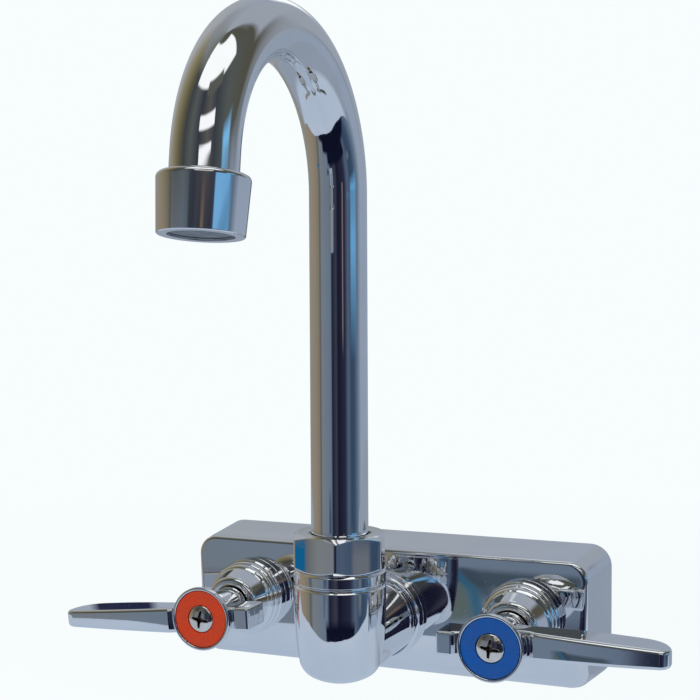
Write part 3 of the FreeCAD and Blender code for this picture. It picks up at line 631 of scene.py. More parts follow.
def nut_outline(across_flats, corner_angle, corner_soft=0.5, crown=0.0):
    """A hexagon with eased corners, as points (x, y) about the origin, one corner turned from -Y to +X.

    Polishing crowns the flats: a point at share s of a flat moves out by 4 crown s (1 - s).
    """
    turn = np.radians(corner_angle + 60.0 * np.arange(6))
    corner_r = across_flats / math.sqrt(3.0)
    corners = np.c_[corner_r * np.sin(turn), -corner_r * np.cos(turn), np.full(6, corner_soft)]
    whole = softened(corners, 4, 0.25)
    run = np.roll(whole, -1, 0) - whole
    step = np.linspace(0, 1, 13)[:-1]
    long_run = np.linalg.norm(run, axis=1) > 3.0
    outward = (whole + 0.5 * run) / np.linalg.norm(whole + 0.5 * run, axis=1)[:, None] * long_run[:, None]
    lift = 4.0 * crown * step * (1.0 - step)
    fine = whole[:, None] + run[:, None] * step[None, :, None] + outward[:, None] * lift[None, :, None]
    keep = np.ones(fine.shape[:2], bool)
    keep[~long_run, 1:] = False
    return fine[keep]


def nut_shell(outline, flat_r, low, high, chamfer, bore, place):
    """A hexagon nut: its outline carried upwards, cut back at both ends by a cone.

    Past the flats' radius the cone lowers the end face by chamfer for each unit of
    (corner radius - flat radius), which gives the curved tops of the flats.
    """
    radius = np.linalg.norm(outline, axis=1)
    direction = outline / radius[:, None]
    slope = chamfer / (flat_r * 2.0 / math.sqrt(3.0) - flat_r)
    drop = np.maximum(radius - flat_r + 0.25, 0.0) * slope
    rows = [
        (bore, high - 0.3),
        (bore + 0.3, high),
        (np.minimum(flat_r - 0.35, radius), high),
        (np.minimum(flat_r - 0.2, radius), high - 0.02),
        (radius - 0.14, high - drop),
        (radius - 0.04, high - drop - 0.06),
        (radius, high - drop - 0.16),
        (radius, high - drop - 0.35),
        (radius, low + drop + 0.35),
        (radius, low + drop + 0.16),
        (radius - 0.04, low + drop + 0.06),
        (radius - 0.14, low + drop),
        (np.minimum(flat_r - 0.2, radius), low),
        (bore + 0.3, low),
        (bore, low + 0.3),
    ]
    origin, across, aside, along = place
    spoke = direction[:, :1] * across + direction[:, 1:] * aside
    all_r, all_h = (np.array([row[i] + 0.0 * radius for row in rows])[..., None] for i in (0, 1))
    return grid_shell(origin + all_r * spoke + all_h * along)


def shank_shell(place, pitch, depth):
    """A threaded shank: the body's thread, a relief behind the locknut and the supply thread.

    At height h and angle t the outside falls below its crest by depth w^0.8, where w is
    0.5 + 0.5 cos 2 pi (h / pitch - t / 2 pi). It also stays within a limit line that gives the bevelled
    ends and the relief.
    """
    origin, across, aside, along = place
    count, rows_per_pitch = 96, 8
    bore_r, supply_r, body_r, relief_r = 6.5, 10.45, 10.67, 9.7
    low, high, step = -46.0, 8.0, -21.5
    turn = np.linspace(0, 2 * math.pi, count, endpoint=False)
    height = np.linspace(low, high, int((high - low) / pitch * rows_per_pitch))
    limit = np.interp(
        height, [low, low + 1.2, step - 0.8, step - 0.5, step + 0.6, step + 0.9, high - 0.8, high],
        [9.3, supply_r, supply_r, relief_r, relief_r, body_r, body_r, 9.9])
    crest = np.where(height < step, supply_r, body_r)
    wave = 0.5 + 0.5 * np.cos(2 * math.pi * (height[:, None] / pitch - turn[None] / (2 * math.pi)))
    outside = np.minimum(limit[:, None], crest[:, None] - depth * wave ** 0.8)
    bore = np.full((1, count), bore_r)
    radius = np.vstack([bore + 0.4, outside, bore + 0.4, bore, bore])
    level = np.r_[low, height, high, high - 0.4, low + 0.4]
    spoke = np.cos(turn)[:, None] * across + np.sin(turn)[:, None] * aside
    return grid_shell(origin + radius[:, :, None] * spoke[None] + level[:, None, None] * along)


def elbow_shells():
    """The cup with its bead and neck, turned about the spout's axis, and the round arm behind it."""
    cup = profile([
        (0.0, -16.0, 0.0), (4.9, -15.43, 9.6, -13.7, 1.5), (12.14, -11.58, 13.35, -8.5, 1.5),
        (14.59, 0.21, 15.0, 9.0, 0.0), (15.0, 15.6, 0.25), (14.3, 16.3, 0.15), (14.3, 16.6, 0.15),
        (15.0, 17.3, 0.3), (15.0, 20.5, 0.3), (14.3, CUP_TOP_Z, 0.3), (12.28, CUP_TOP_Z, 0.1),
        (12.28, 27.5, 0.2), (10.99, 27.5, 0.2), (10.99, 2.0, 0.1), (8.8, 2.0, 0.1), (8.8, -11.0, 0.5),
        (0.0, -11.0, 0.0)])
    arm = profile([
        (5.6, 24.4, 0.2), (8.0, 24.4, 0.2), (8.0, COLLAR_FRONT, 0.05), (13.3, COLLAR_FRONT, 0.2),
        (13.3, 66.0, 0.0), (9.0, 74.5, 0.0, 77.5, 0.0)])
    arm = np.vstack([arm, [(0.0, 40.0), (5.6, 40.0)]])
    return [turned(cup, upright_seat(0, SPOUT_AHEAD), 160, False), turned(arm, ahead_seat(0, ARM_Z), 144)]


def gooseneck_shell():
    """The bent tube: circles carried up the riser, round the bend and down the leg, outside and back inside.

    A point of a circle at angle t is centre + radius (cos t X + sin t N), N turning with the path.
    """
    turn = math.radians(BEND_ANGLE)
    rise = np.linspace(TUBE_FOOT_Z, BEND_START_Z, 24)[:-1]
    bend = np.linspace(0, turn, 110)
    leg = np.linspace(0, OUTLET_LEG + 6.0, 6)[1:]
    angle = np.r_[0 * rise, bend, turn + 0 * leg]
    run_on = np.r_[0 * rise, 0 * bend, leg]
    ahead = SPOUT_AHEAD + BEND_R * (1 - np.cos(angle)) + run_on * math.sin(turn)
    height = np.r_[rise, BEND_START_Z + BEND_R * np.sin(angle[len(rise):])] + run_on * math.cos(turn)
    centre = np.c_[0 * angle, -ahead, height]
    normal = np.c_[0 * angle, -np.cos(angle), -np.sin(angle)]
    along = np.c_[0 * angle, -np.sin(angle), np.cos(angle)]
    t = np.linspace(0, 2 * math.pi, 96, endpoint=False)
    side = np.array([1.0, 0.0, 0.0])

    def sleeve(radius, trim):
        circle = radius * (np.cos(t)[None, :, None] * side + np.sin(t)[None, :, None] * normal[:, None])
        points = centre[:, None] + circle
        points[0] += trim * along[0]
        points[-1] -= trim * along[-1]
        return points

    bevel = 0.15
    outer, inner = sleeve(TUBE_R, bevel), sleeve(TUBE_BORE_R, bevel)[::-1]
    outer_end, inner_end = sleeve(TUBE_R - bevel, 0.0), sleeve(TUBE_BORE_R + bevel, 0.0)
    return grid_shell(np.concatenate([
        outer_end[:1], outer, outer_end[-1:], inner_end[-1:], inner, inner_end[:1]]))


def aerator_shells():
    """The aerator's shell: round shoulder, tapered sides and an inward lip, turned about the outlet leg."""
    line = profile([
        (9.35, 0.0, 0.15), (9.9, 0.0, 0.2), (11.2, -0.35, 0.4), (12.15, -0.85, 12.5, -1.9, 0.4),
        (11.7, -16.2, 0.2), (11.4, -16.5, 0.2), (8.9, -16.5, 0.15), (8.9, -15.7, 0.1), (9.65, -15.7, 0.05),
        (9.65, -6.0, 0.05), (9.35, -6.0, 0.05)])
    return [turned(line, outlet_seat(), 144)]


def screen_shells():
    """The woven screen: two crossing families of thin wires, each a sine wave along its run, in a rolled rim.

    The wire at offset o runs from -w to w, w = sqrt(R^2 - o^2), and rises a sin(pi (run / pitch + number)).
    """
    detail = bpy.context.scene.faucet_detail
    pitch, wire = detail.wire_pitch / MM, detail.wire_radius / MM
    place = outlet_seat()
    origin, across, aside, along = place
    reach, cloth_level = 9.3, -15.45
    lines = np.arange(-int(reach / pitch), int(reach / pitch) + 1)
    t = np.linspace(0, 2 * math.pi, 4, endpoint=False)
    s = np.linspace(-1, 1, 97)
    shells = []
    for first, second, phase in ((across, aside, 0), (aside, across, 1)):
        for line in lines:
            offset = line * pitch
            run = s * math.sqrt(reach ** 2 - offset ** 2)
            lift = wire * np.sin(math.pi * (run / pitch + line + phase)) + cloth_level
            centre = origin + run[:, None] * first + offset * second + lift[:, None] * along
            ring = wire * (np.cos(t)[:, None] * second + np.sin(t)[:, None] * along)
            shells.append(capped_shell(centre[:, None] + ring[None]))
    rim = profile([(9.1, -15.65, 0.1), (9.58, -15.65, 0.2), (9.58, -15.22, 0.2), (9.1, -15.22, 0.1)])
    return shells + [turned(rim, place)]


def bonnet_shells(x):
    """The bonnet: three turned rings below a tapered nose, hollow inside."""
    line = profile([
        (11.25, BODY_FRONT, 0.1), (13.5, BODY_FRONT, 0.3), (13.5, 32.9, 0.35), (12.9, 33.5, 0.2),
        (13.25, 34.7, 12.75, 36.2, 0.15), (12.45, 36.5, 0.15), (12.7, 37.8, 12.0, 39.2, 0.15),
        (11.55, 39.6, 0.2), (11.3, 40.0, 0.4), (9.75, 45.1, 0.3), (9.1, 46.3, 7.4, 46.6, 0.1),
        (6.95, 46.55, 0.1), (6.9, 45.4, 0.1), (8.3, 44.5, 0.1), (8.3, 38.5, 0.1), (11.25, 38.5, 0.1)])
    return [turned(line, ahead_seat(x), 160)]


def slab_shell(plan, half_height, edge, place_point):
    """A flat-sided slab from a closed plan line (a, b), grown upwards and downwards from its middle plane.

    The side leans in over a quarter circle of radius edge: the plan moves inwards by edge (1 - cos t)
    while the height rises to half_height(a) - edge (1 - sin t).
    """
    run = np.roll(plan, -1, 0) - np.roll(plan, 1, 0)
    inward = np.c_[-run[:, 1], run[:, 0]] / np.linalg.norm(run, axis=1)[:, None]
    area = np.sum(plan[:, 0] * np.roll(plan[:, 1], -1) - plan[:, 1] * np.roll(plan[:, 0], -1))
    inward = inward * np.sign(area)
    t = np.linspace(0, math.pi / 2, 6)
    inset = np.r_[0.0, edge * (1 - np.cos(t)), edge + 0.1]
    lower = np.r_[edge + 0.15, edge * (1 - np.sin(t)), 0.0]
    top = half_height(plan[:, 0])
    rows = []
    for sign, order in ((-1, slice(None, None, -1)), (1, slice(None))):
        for move, drop in zip(inset[order], lower[order]):
            flat = plan + inward * move
            rows.append(np.c_[flat, sign * (half_height(flat[:, 0]) - drop)])
        if sign < 0:
            for share in np.linspace(-0.85, 0.85, 9):
                rows.append(np.c_[plan, share * (top - edge - 0.15)])
    rows = np.array(rows)
    return capped_shell(place_point(rows[..., 0], rows[..., 1], rows[..., 2]))


def handle_shells(x, side, droop):
    """One cast handle: turned neck, flare and rim, the lever blade and the short tail across from it.

    The blade's front face is cast with a draft and a slight crown: at height z it falls back by
    0.09 z + 0.008 z^2, faded in over the last 4 mm before the face.
    """
    hub = profile([
        (3.45, 43.3, 0.1), (6.1, 43.3, 0.3), (6.5, 43.7, 0.2), (6.5, 47.6, 0.15), (6.0, 48.1, 0.15),
        (6.5, 48.6, 0.15), (6.5, 57.9, 2.0), (7.6, 63.79, RIM_R, 67.4, 0.4), (RIM_R, FACE_AHEAD, 0.5),
        (9.72, FACE_AHEAD, 0.5), (9.72, RING_BACK, 0.05), (4.8, RING_BACK, 0.1), (4.8, HEAD_BACK, 0.05),
        (2.1, HEAD_BACK, 0.1), (2.1, 61.9, 0.05), (3.45, 61.9, 0.05)])
    angle = math.radians(droop)
    front = FACE_AHEAD - 0.4
    back = front - 13.8
    tip = LEVER_LENGTH

    def place_point(a, ahead, z):
        run = side * (a * math.cos(angle) + z * math.sin(angle))
        return np.stack([x + run, -ahead, z * math.cos(angle) - a * math.sin(angle)], -1)

    def blade_point(a, ahead, z):
        share = np.clip((ahead - front + 4.0) / 4.0, 0.0, 1.0)
        return place_point(a, ahead - share * (side * 0.09 * z + 0.008 * z ** 2), z + side * LEVER_OFFSET)

    def tail_point(a, ahead, z):
        return place_point(-a, ahead, z)

    def blade_half(a):
        return np.interp(a, [0, RIM_R, LEVER_LENGTH + 1.0], [4.4, 4.4, 2.8])

    def tail_half(a):
        return 3.8 + 0.0 * a

    blade = profile([
        (5.0, front - 11.2, 0.0), (RIM_R, front - 11.2, 6.0), (0.42 * tip, back + 0.45, tip - 9.5, back, 0.0),
        (tip - 2.78, back + 2.78, tip, back + 9.5, 0.0), (tip, front - 3.5, 0.0),
        (tip - 1.03, front - 1.13, tip - 3.5, front - 0.16, 0.0),
        (32.4, front - 0.17, 13.4, front - 1.2, 0.6), (12.3, 66.7, 0.8), (10.2, 66.3, 0.0), (5.0, 66.3, 0.0)])
    tail = profile([
        (5.0, front - 12.4, 0.0), (17.8, front - 12.4, 0.8), (17.8, front, 0.8), (12.9, front, 0.5),
        (11.9, 67.3, 0.6), (10.2, 66.9, 0.0), (5.0, 66.9, 0.0)])
    return [turned(hub, ahead_seat(x), 160), slab_shell(blade, blade_half, 1.2, blade_point),
            slab_shell(tail, tail_half, 0.8, tail_point)]


def index_ring_shells(x):
    """The coloured ring in the handle's face, with a soft outer edge."""
    line = profile([
        (4.75, RING_BACK, 0.05), (9.6, RING_BACK, 0.05), (9.6, 68.6, 0.15), (9.5, 68.7, 0.1),
        (4.75, 68.7, 0.12)])
    return [turned(line, ahead_seat(x), 144)]


def screw_dome(radius):
    """How far ahead a screw head's dome stands: it falls by 1.2 mm, slowly at first, to the head's edge."""
    return 69.9 - 1.2 * np.minimum(radius / HEAD_R, 1.0) ** 2.2


def screw_shells(x):
    """The screw: a domed head with a tapered cross recess, above a plain shank.

    The head is a net of radius and angle. Its height is the dome less the recess, which deepens smoothly
    inside a cross whose arms are as wide as the slot and end at the slot's length.
    """
    origin, across, aside, along = ahead_seat(x)
    turn = np.linspace(0, 2 * math.pi, 176, endpoint=False)
    radius = np.r_[np.linspace(0, 3.1, 62), np.linspace(3.15, 4.25, 12)]
    r, t = np.meshgrid(radius, turn + math.radians(8.0), indexing="ij")
    u, v = np.abs(r * np.cos(t)), np.abs(r * np.sin(t))
    narrow, far = np.minimum(u, v), np.maximum(u, v)
    wide = 0.4 + 0.35 * np.clip(1.3 - far, 0, 1) - 0.12 * np.clip(far - 1.8, 0, 1)
    inside = np.clip((wide + 0.14 - narrow) / 0.28, 0, 1) * np.clip((2.9 + 0.3 - far) / 0.6, 0, 1)
    inside = inside * inside * (3 - 2 * inside)
    head = screw_dome(r) - inside * (1.7 - 0.5 * np.clip(far / 2.8, 0, 1))
    below = np.array([(4.4, 68.76), (4.52, 68.64), (4.58, 68.46), (HEAD_R, 68.2), (HEAD_R, 66.95),
                      (4.52, HEAD_BACK), (1.95, HEAD_BACK), (1.95, 52.4), (1.55, 51.8), (0.0, 51.8)])
    below = np.repeat(below[:, None], len(turn), 1)
    all_r = np.vstack([r, below[..., 0]])
    all_h = np.vstack([head, below[..., 1]])
    spoke = np.cos(turn)[:, None] * across + np.sin(turn)[:, None] * aside
    return [grid_shell(origin + all_r[..., None] * spoke[None] + all_h[..., None] * along, False)]


def mark_recess(piece, x):
    """Give a screw the attribute of its recess, from 0 on the head's dome to 1 at 0.85 mm below it."""
    place = np.empty(3 * len(piece.data.vertices))
    piece.data.vertices.foreach_get("co", place)
    place = place.reshape(-1, 3) / MM
    r = np.hypot(place[:, 0] - x, place[:, 2])
    depth = screw_dome(r) + place[:, 1]
    depth = np.where((r < 3.6) & (place[:, 1] < -67.5), np.clip((depth - 0.15) / 0.7, 0, 1), 0.0)
    piece.data.attributes.new("recess", "FLOAT", "POINT").data.foreach_set("value", depth)


# The studio is a ball, in metres, and its angles are in degrees. Its walls are given as (bearing, colour)
# from the left round to the right, the upper ones with the height from which they show, and its boards as
# (bearings, heights, soft border, colour).

STUDIO_MIDDLE = (0.0, -0.08, 0.05)
STUDIO_R = 1.6
LOW_WALL = (
    (-180, (142, 152, 168)), (-145, (135, 138, 133)), (-82, (138, 126, 110)), (-62, (121, 117, 105)),
    (-55, (84, 90, 98)), (-48, (117, 122, 125)), (-20, (102, 117, 136)), (-12, (100, 114, 133)),
    (-7.8, (96, 110, 132)), (-5, (46, 52, 74)), (-2, (28, 34, 50)), (13, (56, 58, 74)), (20, (22, 24, 42)),
    (48, (38, 42, 62)), (61, (80, 95, 118)), (74, (48, 68, 92)), (88, (56, 76, 99)), (104, (98, 114, 134)),
    (120, (141, 154, 173)))
HIGH_WALL = (
    (-180, (148, 158, 175)), (-122, (160, 164, 168)), (-92, (132, 126, 100)), (-62, (92, 88, 66)),
    (-44, (60, 64, 68)), (-20, (82, 88, 88)), (6, (48, 54, 63)), (32, (86, 83, 82)), (54, (54, 60, 68)),
    (90, (80, 85, 84)), (134, (78, 77, 66)), (156, (148, 156, 168)))
ROOF = (
    (-180, (152, 160, 172)), (-70, (120, 124, 124)), (0, (78, 80, 72)), (120, (78, 80, 72)),
    (150, (150, 158, 170)))
UPPER_WALLS = ((12, HIGH_WALL), (60, ROOF))
BOARDS = (
    ((-46, -28), (-80, -38), 2.0, (16, 19, 36)),
    ((-31, 98), (-80, -29), 2.0, (13, 16, 34)),
    ((-13, 60), (-31, -19), 2.0, (14, 17, 36)),
    ((83, 107), (13.3, 22), 3.0, (118, 178, 222)),
    ((54.5, 92), (7.4, 12.8), 1.2, (110, 166, 212)),
    ((72, 97), (1, 7.6), 3.0, (98, 154, 198)),
    ((37.5, 41.5), (-1, 7.5), 0.8, (124, 108, 110)),
    ((24, 31), (9, 12.6), 1.5, (108, 94, 86)),
    ((-61, -54), (-13.4, -11.4), 0.4, (14, 92, 138)),
    ((69.5, 77), (-15.5, -11.4), 0.8, (100, 106, 116)),
    ((-18.5, -10), (-14, -9.4), 0.8, (62, 76, 90)),
    ((-153, -138), (3, 12), 1.0, (148, 160, 176)),
    ((-145.6, -142.6), (3, 8), 0.25, (34, 38, 64)),
    ((8, 45), (20.2, 22.4), 0.5, (248, 250, 254)),
    ((4, 52), (29.6, 37.4), 0.8, (248, 250, 254)),
    ((-34, 97), (52.5, 81), 1.0, (250, 253, 254)),
    ((16, 66), (48, 56.5), 1.0, (84, 86, 82)),
    ((-176, -160), (28, 44), 3.0, (248, 252, 254)),
    ((132, 184), (36, 90), 3.5, (152, 160, 172)),
    ((131, 152), (10.5, 16), 3.0, (100, 108, 113)),
)

# Boards that lean: their first range is of bearing + LEAN * height.

LEAN = 0.19
LEANING_BOARDS = (
    ((-21.5, -19.74), (-16.4, -12.8), 0.15, (84, 97, 95)),
    ((-19.08, -18.3), (-15.2, -9), 0.3, (56, 67, 79)),
    ((-19.74, -19.08), (-16.6, -9.4), 0.1, (44, 90, 118)),
)

# The front edge of the studio's table, as (x, how far it lies behind the foremost point) in metres.

TABLE_EDGE = (
    (-0.75, 0.42), (-0.6, 0.34), (-0.44, 0.22), (-0.36, 0.11), (-0.28, 0.045), (-0.18, 0.016), (-0.08, 0.006),
    (0.0, 0.0), (0.06, 0.008), (0.12, 0.028), (0.18, 0.066), (0.24, 0.105), (0.31, 0.145), (0.44, 0.24),
    (0.6, 0.34), (0.75, 0.42))


# Stage

def reflected(rgb):
    """The light of a card that the chrome shows as the given screen colour."""
    chrome = np.array(bpy.context.scene.faucet_finishes.chrome)
    return (*(np.array(colour(rgb)) / chrome), 1.0)


def between(tree, angle, low, high, soft):
    """1 where an angle lies between two others, falling to 0 over a soft border."""
    rise = arithmetic(tree, "SUBTRACT", angle, low - soft)
    fall = arithmetic(tree, "SUBTRACT", high + soft, angle)
    up, down = (arithmetic(tree, "MULTIPLY", part, 0.5 / soft, clamp=True) for part in (rise, fall))
    return arithmetic(tree, "MULTIPLY", up, down)


def wall_ramp(tree, bearing, stops):
    """Upright stripes of a wall: colours by their bearing in degrees, blended between the stops."""
    turned_share = arithmetic(tree, "ADD", arithmetic(tree, "DIVIDE", bearing, 360.0), 0.5)
    ramp = new_node(tree, "ShaderNodeValToRGB", {0: turned_share})
    elements = ramp.color_ramp.elements
    while len(elements) < len(stops):
        elements.new(0.5)
    for element, (degrees, rgb) in zip(elements, stops):
        element.position = degrees / 360.0 + 0.5
        element.color = reflected(rgb)
    return ramp.outputs[0]


def studio_shade(tree, where):
    """The walls and boards of the studio that the chrome mirrors, as colours by bearing and height.

    The bearing is the angle from -Y towards +X and the height is the angle above the level, both in degrees
    and seen from the middle of the studio. A leaning board keeps to lines along which the bearing falls
    as the height grows.
    """
    split = new_node(tree, "ShaderNodeSeparateXYZ", {0: where})
    x, y, z = (arithmetic(tree, "SUBTRACT", split.outputs[i], STUDIO_MIDDLE[i]) for i in (0, 1, 2))
    ahead = arithmetic(tree, "MULTIPLY", y, -1.0)
    bearing = arithmetic(tree, "DEGREES", arithmetic(tree, "ARCTAN2", x, ahead))
    square = arithmetic(tree, "ADD", arithmetic(tree, "MULTIPLY", x, x), arithmetic(tree, "MULTIPLY", y, y))
    level = arithmetic(tree, "SQRT", square)
    height = arithmetic(tree, "DEGREES", arithmetic(tree, "ARCTAN2", z, level))
    shade = wall_ramp(tree, bearing, LOW_WALL)
    for low, stops in UPPER_WALLS:
        shade = laid_over(tree, shade, between(tree, height, low, 120, 5.0), wall_ramp(tree, bearing, stops))
    leaning = arithmetic(tree, "ADD", bearing, arithmetic(tree, "MULTIPLY", height, LEAN))
    for boards, along in ((BOARDS, bearing), (LEANING_BOARDS, leaning)):
        for (left, right), (bottom, top), soft, rgb in boards:
            mask = arithmetic(tree, "MULTIPLY", between(tree, along, left, right, soft),
                              between(tree, height, bottom, top, soft))
            shade = laid_over(tree, shade, mask, reflected(rgb))
    return shade


def table_shade(tree, where):
    """The pale table under the object, as the chrome mirrors it: faintly clouded, and in the shade behind."""
    pale, clouded, shaded = (reflected(rgb) for rgb in ((178, 191, 208), (166, 181, 202), (138, 149, 165)))
    shade = laid_over(tree, pale, marks_mask(tree, where, Scale=3.0), clouded)
    split = new_node(tree, "ShaderNodeSeparateXYZ", {0: where})
    return laid_over(tree, shade, between(tree, split.outputs["Y"], 0.085, 5.0, 0.04), shaded)


def light_material(name, shade_at):
    """A material of plain light. A function lays out its colour from the tree and the place on the object."""
    material = bpy.data.materials.new(name)
    material.use_nodes = True
    tree = material.node_tree
    tree.nodes.clear()
    glow = new_node(tree, "ShaderNodeEmission", {"Color": shade_at(tree, object_place(tree))})
    new_node(tree, "ShaderNodeOutputMaterial", {"Surface": glow.outputs[0]})
    return material


def mirrored_mesh(name, vertices, faces, material):
    """An object of the stage that shows in reflections alone, and neither lights nor shades anything."""
    mesh = bpy.data.meshes.new(name)
    mesh.from_pydata(np.asarray(vertices).tolist(), [], faces)
    mesh.materials.append(material)
    made = add_object(name, mesh)
    for ray in ("camera", "diffuse", "transmission", "volume_scatter", "shadow"):
        setattr(made, "visible_" + ray, False)


def make_studio(settings):
    """The studio, seen by reflections alone: a ball of walls, and a table with a round front.

    The ball is radius (cos h sin b, -cos h cos b, sin h) for bearings b and heights h.
    """
    bearing = np.radians(np.linspace(-180, 180, 73))[:-1]
    height = np.radians(np.linspace(-89.9, 89.9, 37))
    h, b = np.meshgrid(height, bearing, indexing="ij")
    ball = STUDIO_R * np.stack([np.cos(h) * np.sin(b), -np.cos(h) * np.cos(b), np.sin(h)], -1) + STUDIO_MIDDLE
    mirrored_mesh("studio_walls", *capped_shell(ball), light_material("studio_walls", studio_shade))
    table = [(x, back - settings.table_reach) for x, back in TABLE_EDGE] + [(0.75, 1.2), (-0.75, 1.2)]
    table = [(x, y, -settings.table_drop) for x, y in table]
    whole = [list(range(len(table)))]
    mirrored_mesh("studio_table", table, whole, light_material("studio_table", table_shade))


def seen_ray(tree):
    """1 for camera, glossy and transmission rays, 0 for the rays that light the object."""
    path = tree.nodes.new("ShaderNodeLightPath").outputs
    seen = arithmetic(tree, "MAXIMUM", path["Is Camera Ray"], path["Is Glossy Ray"])
    return arithmetic(tree, "MAXIMUM", seen, path["Is Transmission Ray"])


def make_camera(settings):
    """The photograph's viewpoint: yaw, pitch and roll about the camera's own place."""
    place = (0.17062, -0.4718, 0.11428)
    yaw, pitch, roll = (math.radians(v) for v in (22.41, 2.92, -0.28))
    forward = Vector((-math.sin(yaw) * math.cos(pitch), math.cos(yaw) * math.cos(pitch), -math.sin(pitch)))
    right = Vector((math.cos(yaw), math.sin(yaw), 0.0))
    up = right.cross(forward)
    right, up = (math.cos(roll) * right + math.sin(roll) * up, math.cos(roll) * up - math.sin(roll) * right)
    data = bpy.data.cameras.new("photo_camera")
    data.sensor_width = 36.0
    data.lens = settings.lens
    data.clip_start = 0.01
    data.clip_end = 100.0
    camera = add_object("photo_camera", data)
    camera.matrix_world = Matrix.Translation(place) @ Matrix((right, up, -forward)).transposed().to_4x4()
    bpy.context.scene.camera = camera


def make_floor(settings):
    """A wide pale floor that takes the object's shadow and fades into the background away from it."""
    half = 8.0
    z = -settings.floor_drop
    mesh = bpy.data.meshes.new("floor")
    corners = [(-half, -half, z), (half, -half, z), (half, half, z), (-half, half, z)]
    mesh.from_pydata(corners, [], [(0, 1, 2, 3)])
    floor = add_object("floor", mesh)
    shade = tuple(settings.background)
    material, tree, shader, where = new_material("pale_floor", shade, 0.0, 0.9)
    glow = new_node(tree, "ShaderNodeEmission", {"Color": (*shade, 1.0)})
    away = new_node(tree, "ShaderNodeVectorMath", {0: where}, operation="LENGTH")
    fade = new_node(tree, "ShaderNodeMapRange",
                    {"From Min": 0.25, "From Max": 0.9, "To Min": 0.7, "To Max": 1.0,
                     "Value": away.outputs["Value"]}, interpolation_type="SMOOTHSTEP")
    share = arithmetic(tree, "MULTIPLY", seen_ray(tree), fade.outputs[0])
    mix = new_node(tree, "ShaderNodeMixShader", {"Fac": share, 1: shader.outputs[0], 2: glow.outputs[0]})
    tree.links.new(mix.outputs[0], tree.nodes["Material Output"].inputs["Surface"])
    mesh.materials.append(material)
    floor.visible_glossy = False


def make_world(settings):
    """Even soft light from all round, and the pale background that camera and metal see."""
    world = bpy.data.worlds.new("studio")
    bpy.context.scene.world = world
    world.use_nodes = True
    tree = world.node_tree
    tree.nodes.clear()
    soft = new_node(tree, "ShaderNodeBackground", {"Color": (1.0, 1.0, 1.0, 1.0), "Strength": 0.75})
    pale = new_node(tree, "ShaderNodeBackground", {"Color": (*settings.background, 1.0)})
    mix = new_node(tree, "ShaderNodeMixShader",
                   {"Fac": seen_ray(tree), 1: soft.outputs[0], 2: pale.outputs[0]})
    new_node(tree, "ShaderNodeOutputWorld", {"Surface": mix.outputs[0]})


def make_lamps(settings):
    """One large soft lamp, high on the left in front."""
    data = bpy.data.lights.new("key_lamp", "AREA")
    data.energy = settings.key_power
    data.size = 0.6
    data.shape = "SQUARE"
    lamp = add_object("key_lamp", data)
    place = Vector((-0.55, -0.9, 0.95))
    aim = Vector((0.0, -0.07, 0.06)) - place
    lamp.matrix_world = Matrix.Translation(place) @ aim.to_track_quat("-Z", "Y").to_matrix().to_4x4()
    lamp.visible_glossy = False


# Settings that a user would change

COLOUR_SETTING = {"subtype": "COLOR", "size": 3, "min": 0, "max": 1}


class FaucetFinishes(bpy.types.PropertyGroup):
    """Colours and shine of the finishes."""

    chrome: FloatVectorProperty(name="Chrome", description="Reflected colour of the plated pieces",
                                default=(0.84, 0.85, 0.87), **COLOUR_SETTING)
    chrome_roughness: FloatProperty(name="Chrome roughness", description="Blur of the chrome's reflections",
                                    subtype="FACTOR", min=0, max=1, default=0.035)
    hot: FloatVectorProperty(name="Hot ring", description="Enamel of the hot side's ring",
                             default=colour((180, 50, 6)), **COLOUR_SETTING)
    cold: FloatVectorProperty(name="Cold ring", description="Enamel of the cold side's ring",
                              default=colour((0, 72, 148)), **COLOUR_SETTING)
    brass: FloatVectorProperty(name="Brass", description="Colour of the turned brass pieces",
                               default=colour((205, 170, 98)), **COLOUR_SETTING)
    foam: FloatVectorProperty(name="Gasket foam", description="Colour of the foam behind the body",
                              default=colour((44, 45, 47)), **COLOUR_SETTING)


class FaucetDetail(bpy.types.PropertyGroup):
    """Sizes of the fine detail."""

    thread_pitch: FloatProperty(name="Thread pitch", description="Distance between two threads of a shank",
                                unit="LENGTH", min=0.001, max=0.004, default=0.001814)
    thread_depth: FloatProperty(name="Thread depth", description="Depth of a shank's thread",
                                unit="LENGTH", min=0.0001, max=0.002, default=0.0009)
    wire_pitch: FloatProperty(name="Screen pitch", description="Distance between two wires of the screen",
                              unit="LENGTH", min=0.0003, max=0.003, default=0.00042)
    wire_radius: FloatProperty(name="Screen wire", description="Radius of a wire of the screen",
                               unit="LENGTH", min=0.00005, max=0.0005, default=0.00009)


class FaucetStage(bpy.types.PropertyGroup):
    """Camera, floor, light, mirrored table and background."""

    lens: FloatProperty(name="Lens", description="Focal length for a 36 mm wide sensor, in millimetres",
                        min=20, max=200, default=70.24)
    floor_drop: FloatProperty(name="Floor", description="How far the floor lies below the body's origin",
                              unit="LENGTH", min=0.03, max=1, default=0.1)
    key_power: FloatProperty(name="Key lamp", description="Power of the large soft lamp",
                             unit="POWER", min=0, max=200, default=9.0)
    table_reach: FloatProperty(name="Mirrored table's reach", description="How far it reaches from the wall",
                               unit="LENGTH", min=0.1, max=1, default=0.277)
    table_drop: FloatProperty(name="Mirrored table's drop", description="How far it lies below the origin",
                              unit="LENGTH", min=0.03, max=1, default=0.09)
    background: FloatVectorProperty(name="Background", description="Colour behind the object",
                                    default=colour((248, 253, 254)), **COLOUR_SETTING)


# Operators

class FAUCET_OT_body(bpy.types.Operator):
    """Make the chromed casting"""

    bl_idname = "faucet.body"
    bl_label = "Valve body"

    def execute(self, context):
        make_piece("chromed_body", "faucet_body", "polished_chrome", body_shells(), ["valve_body"])
        return {"FINISHED"}


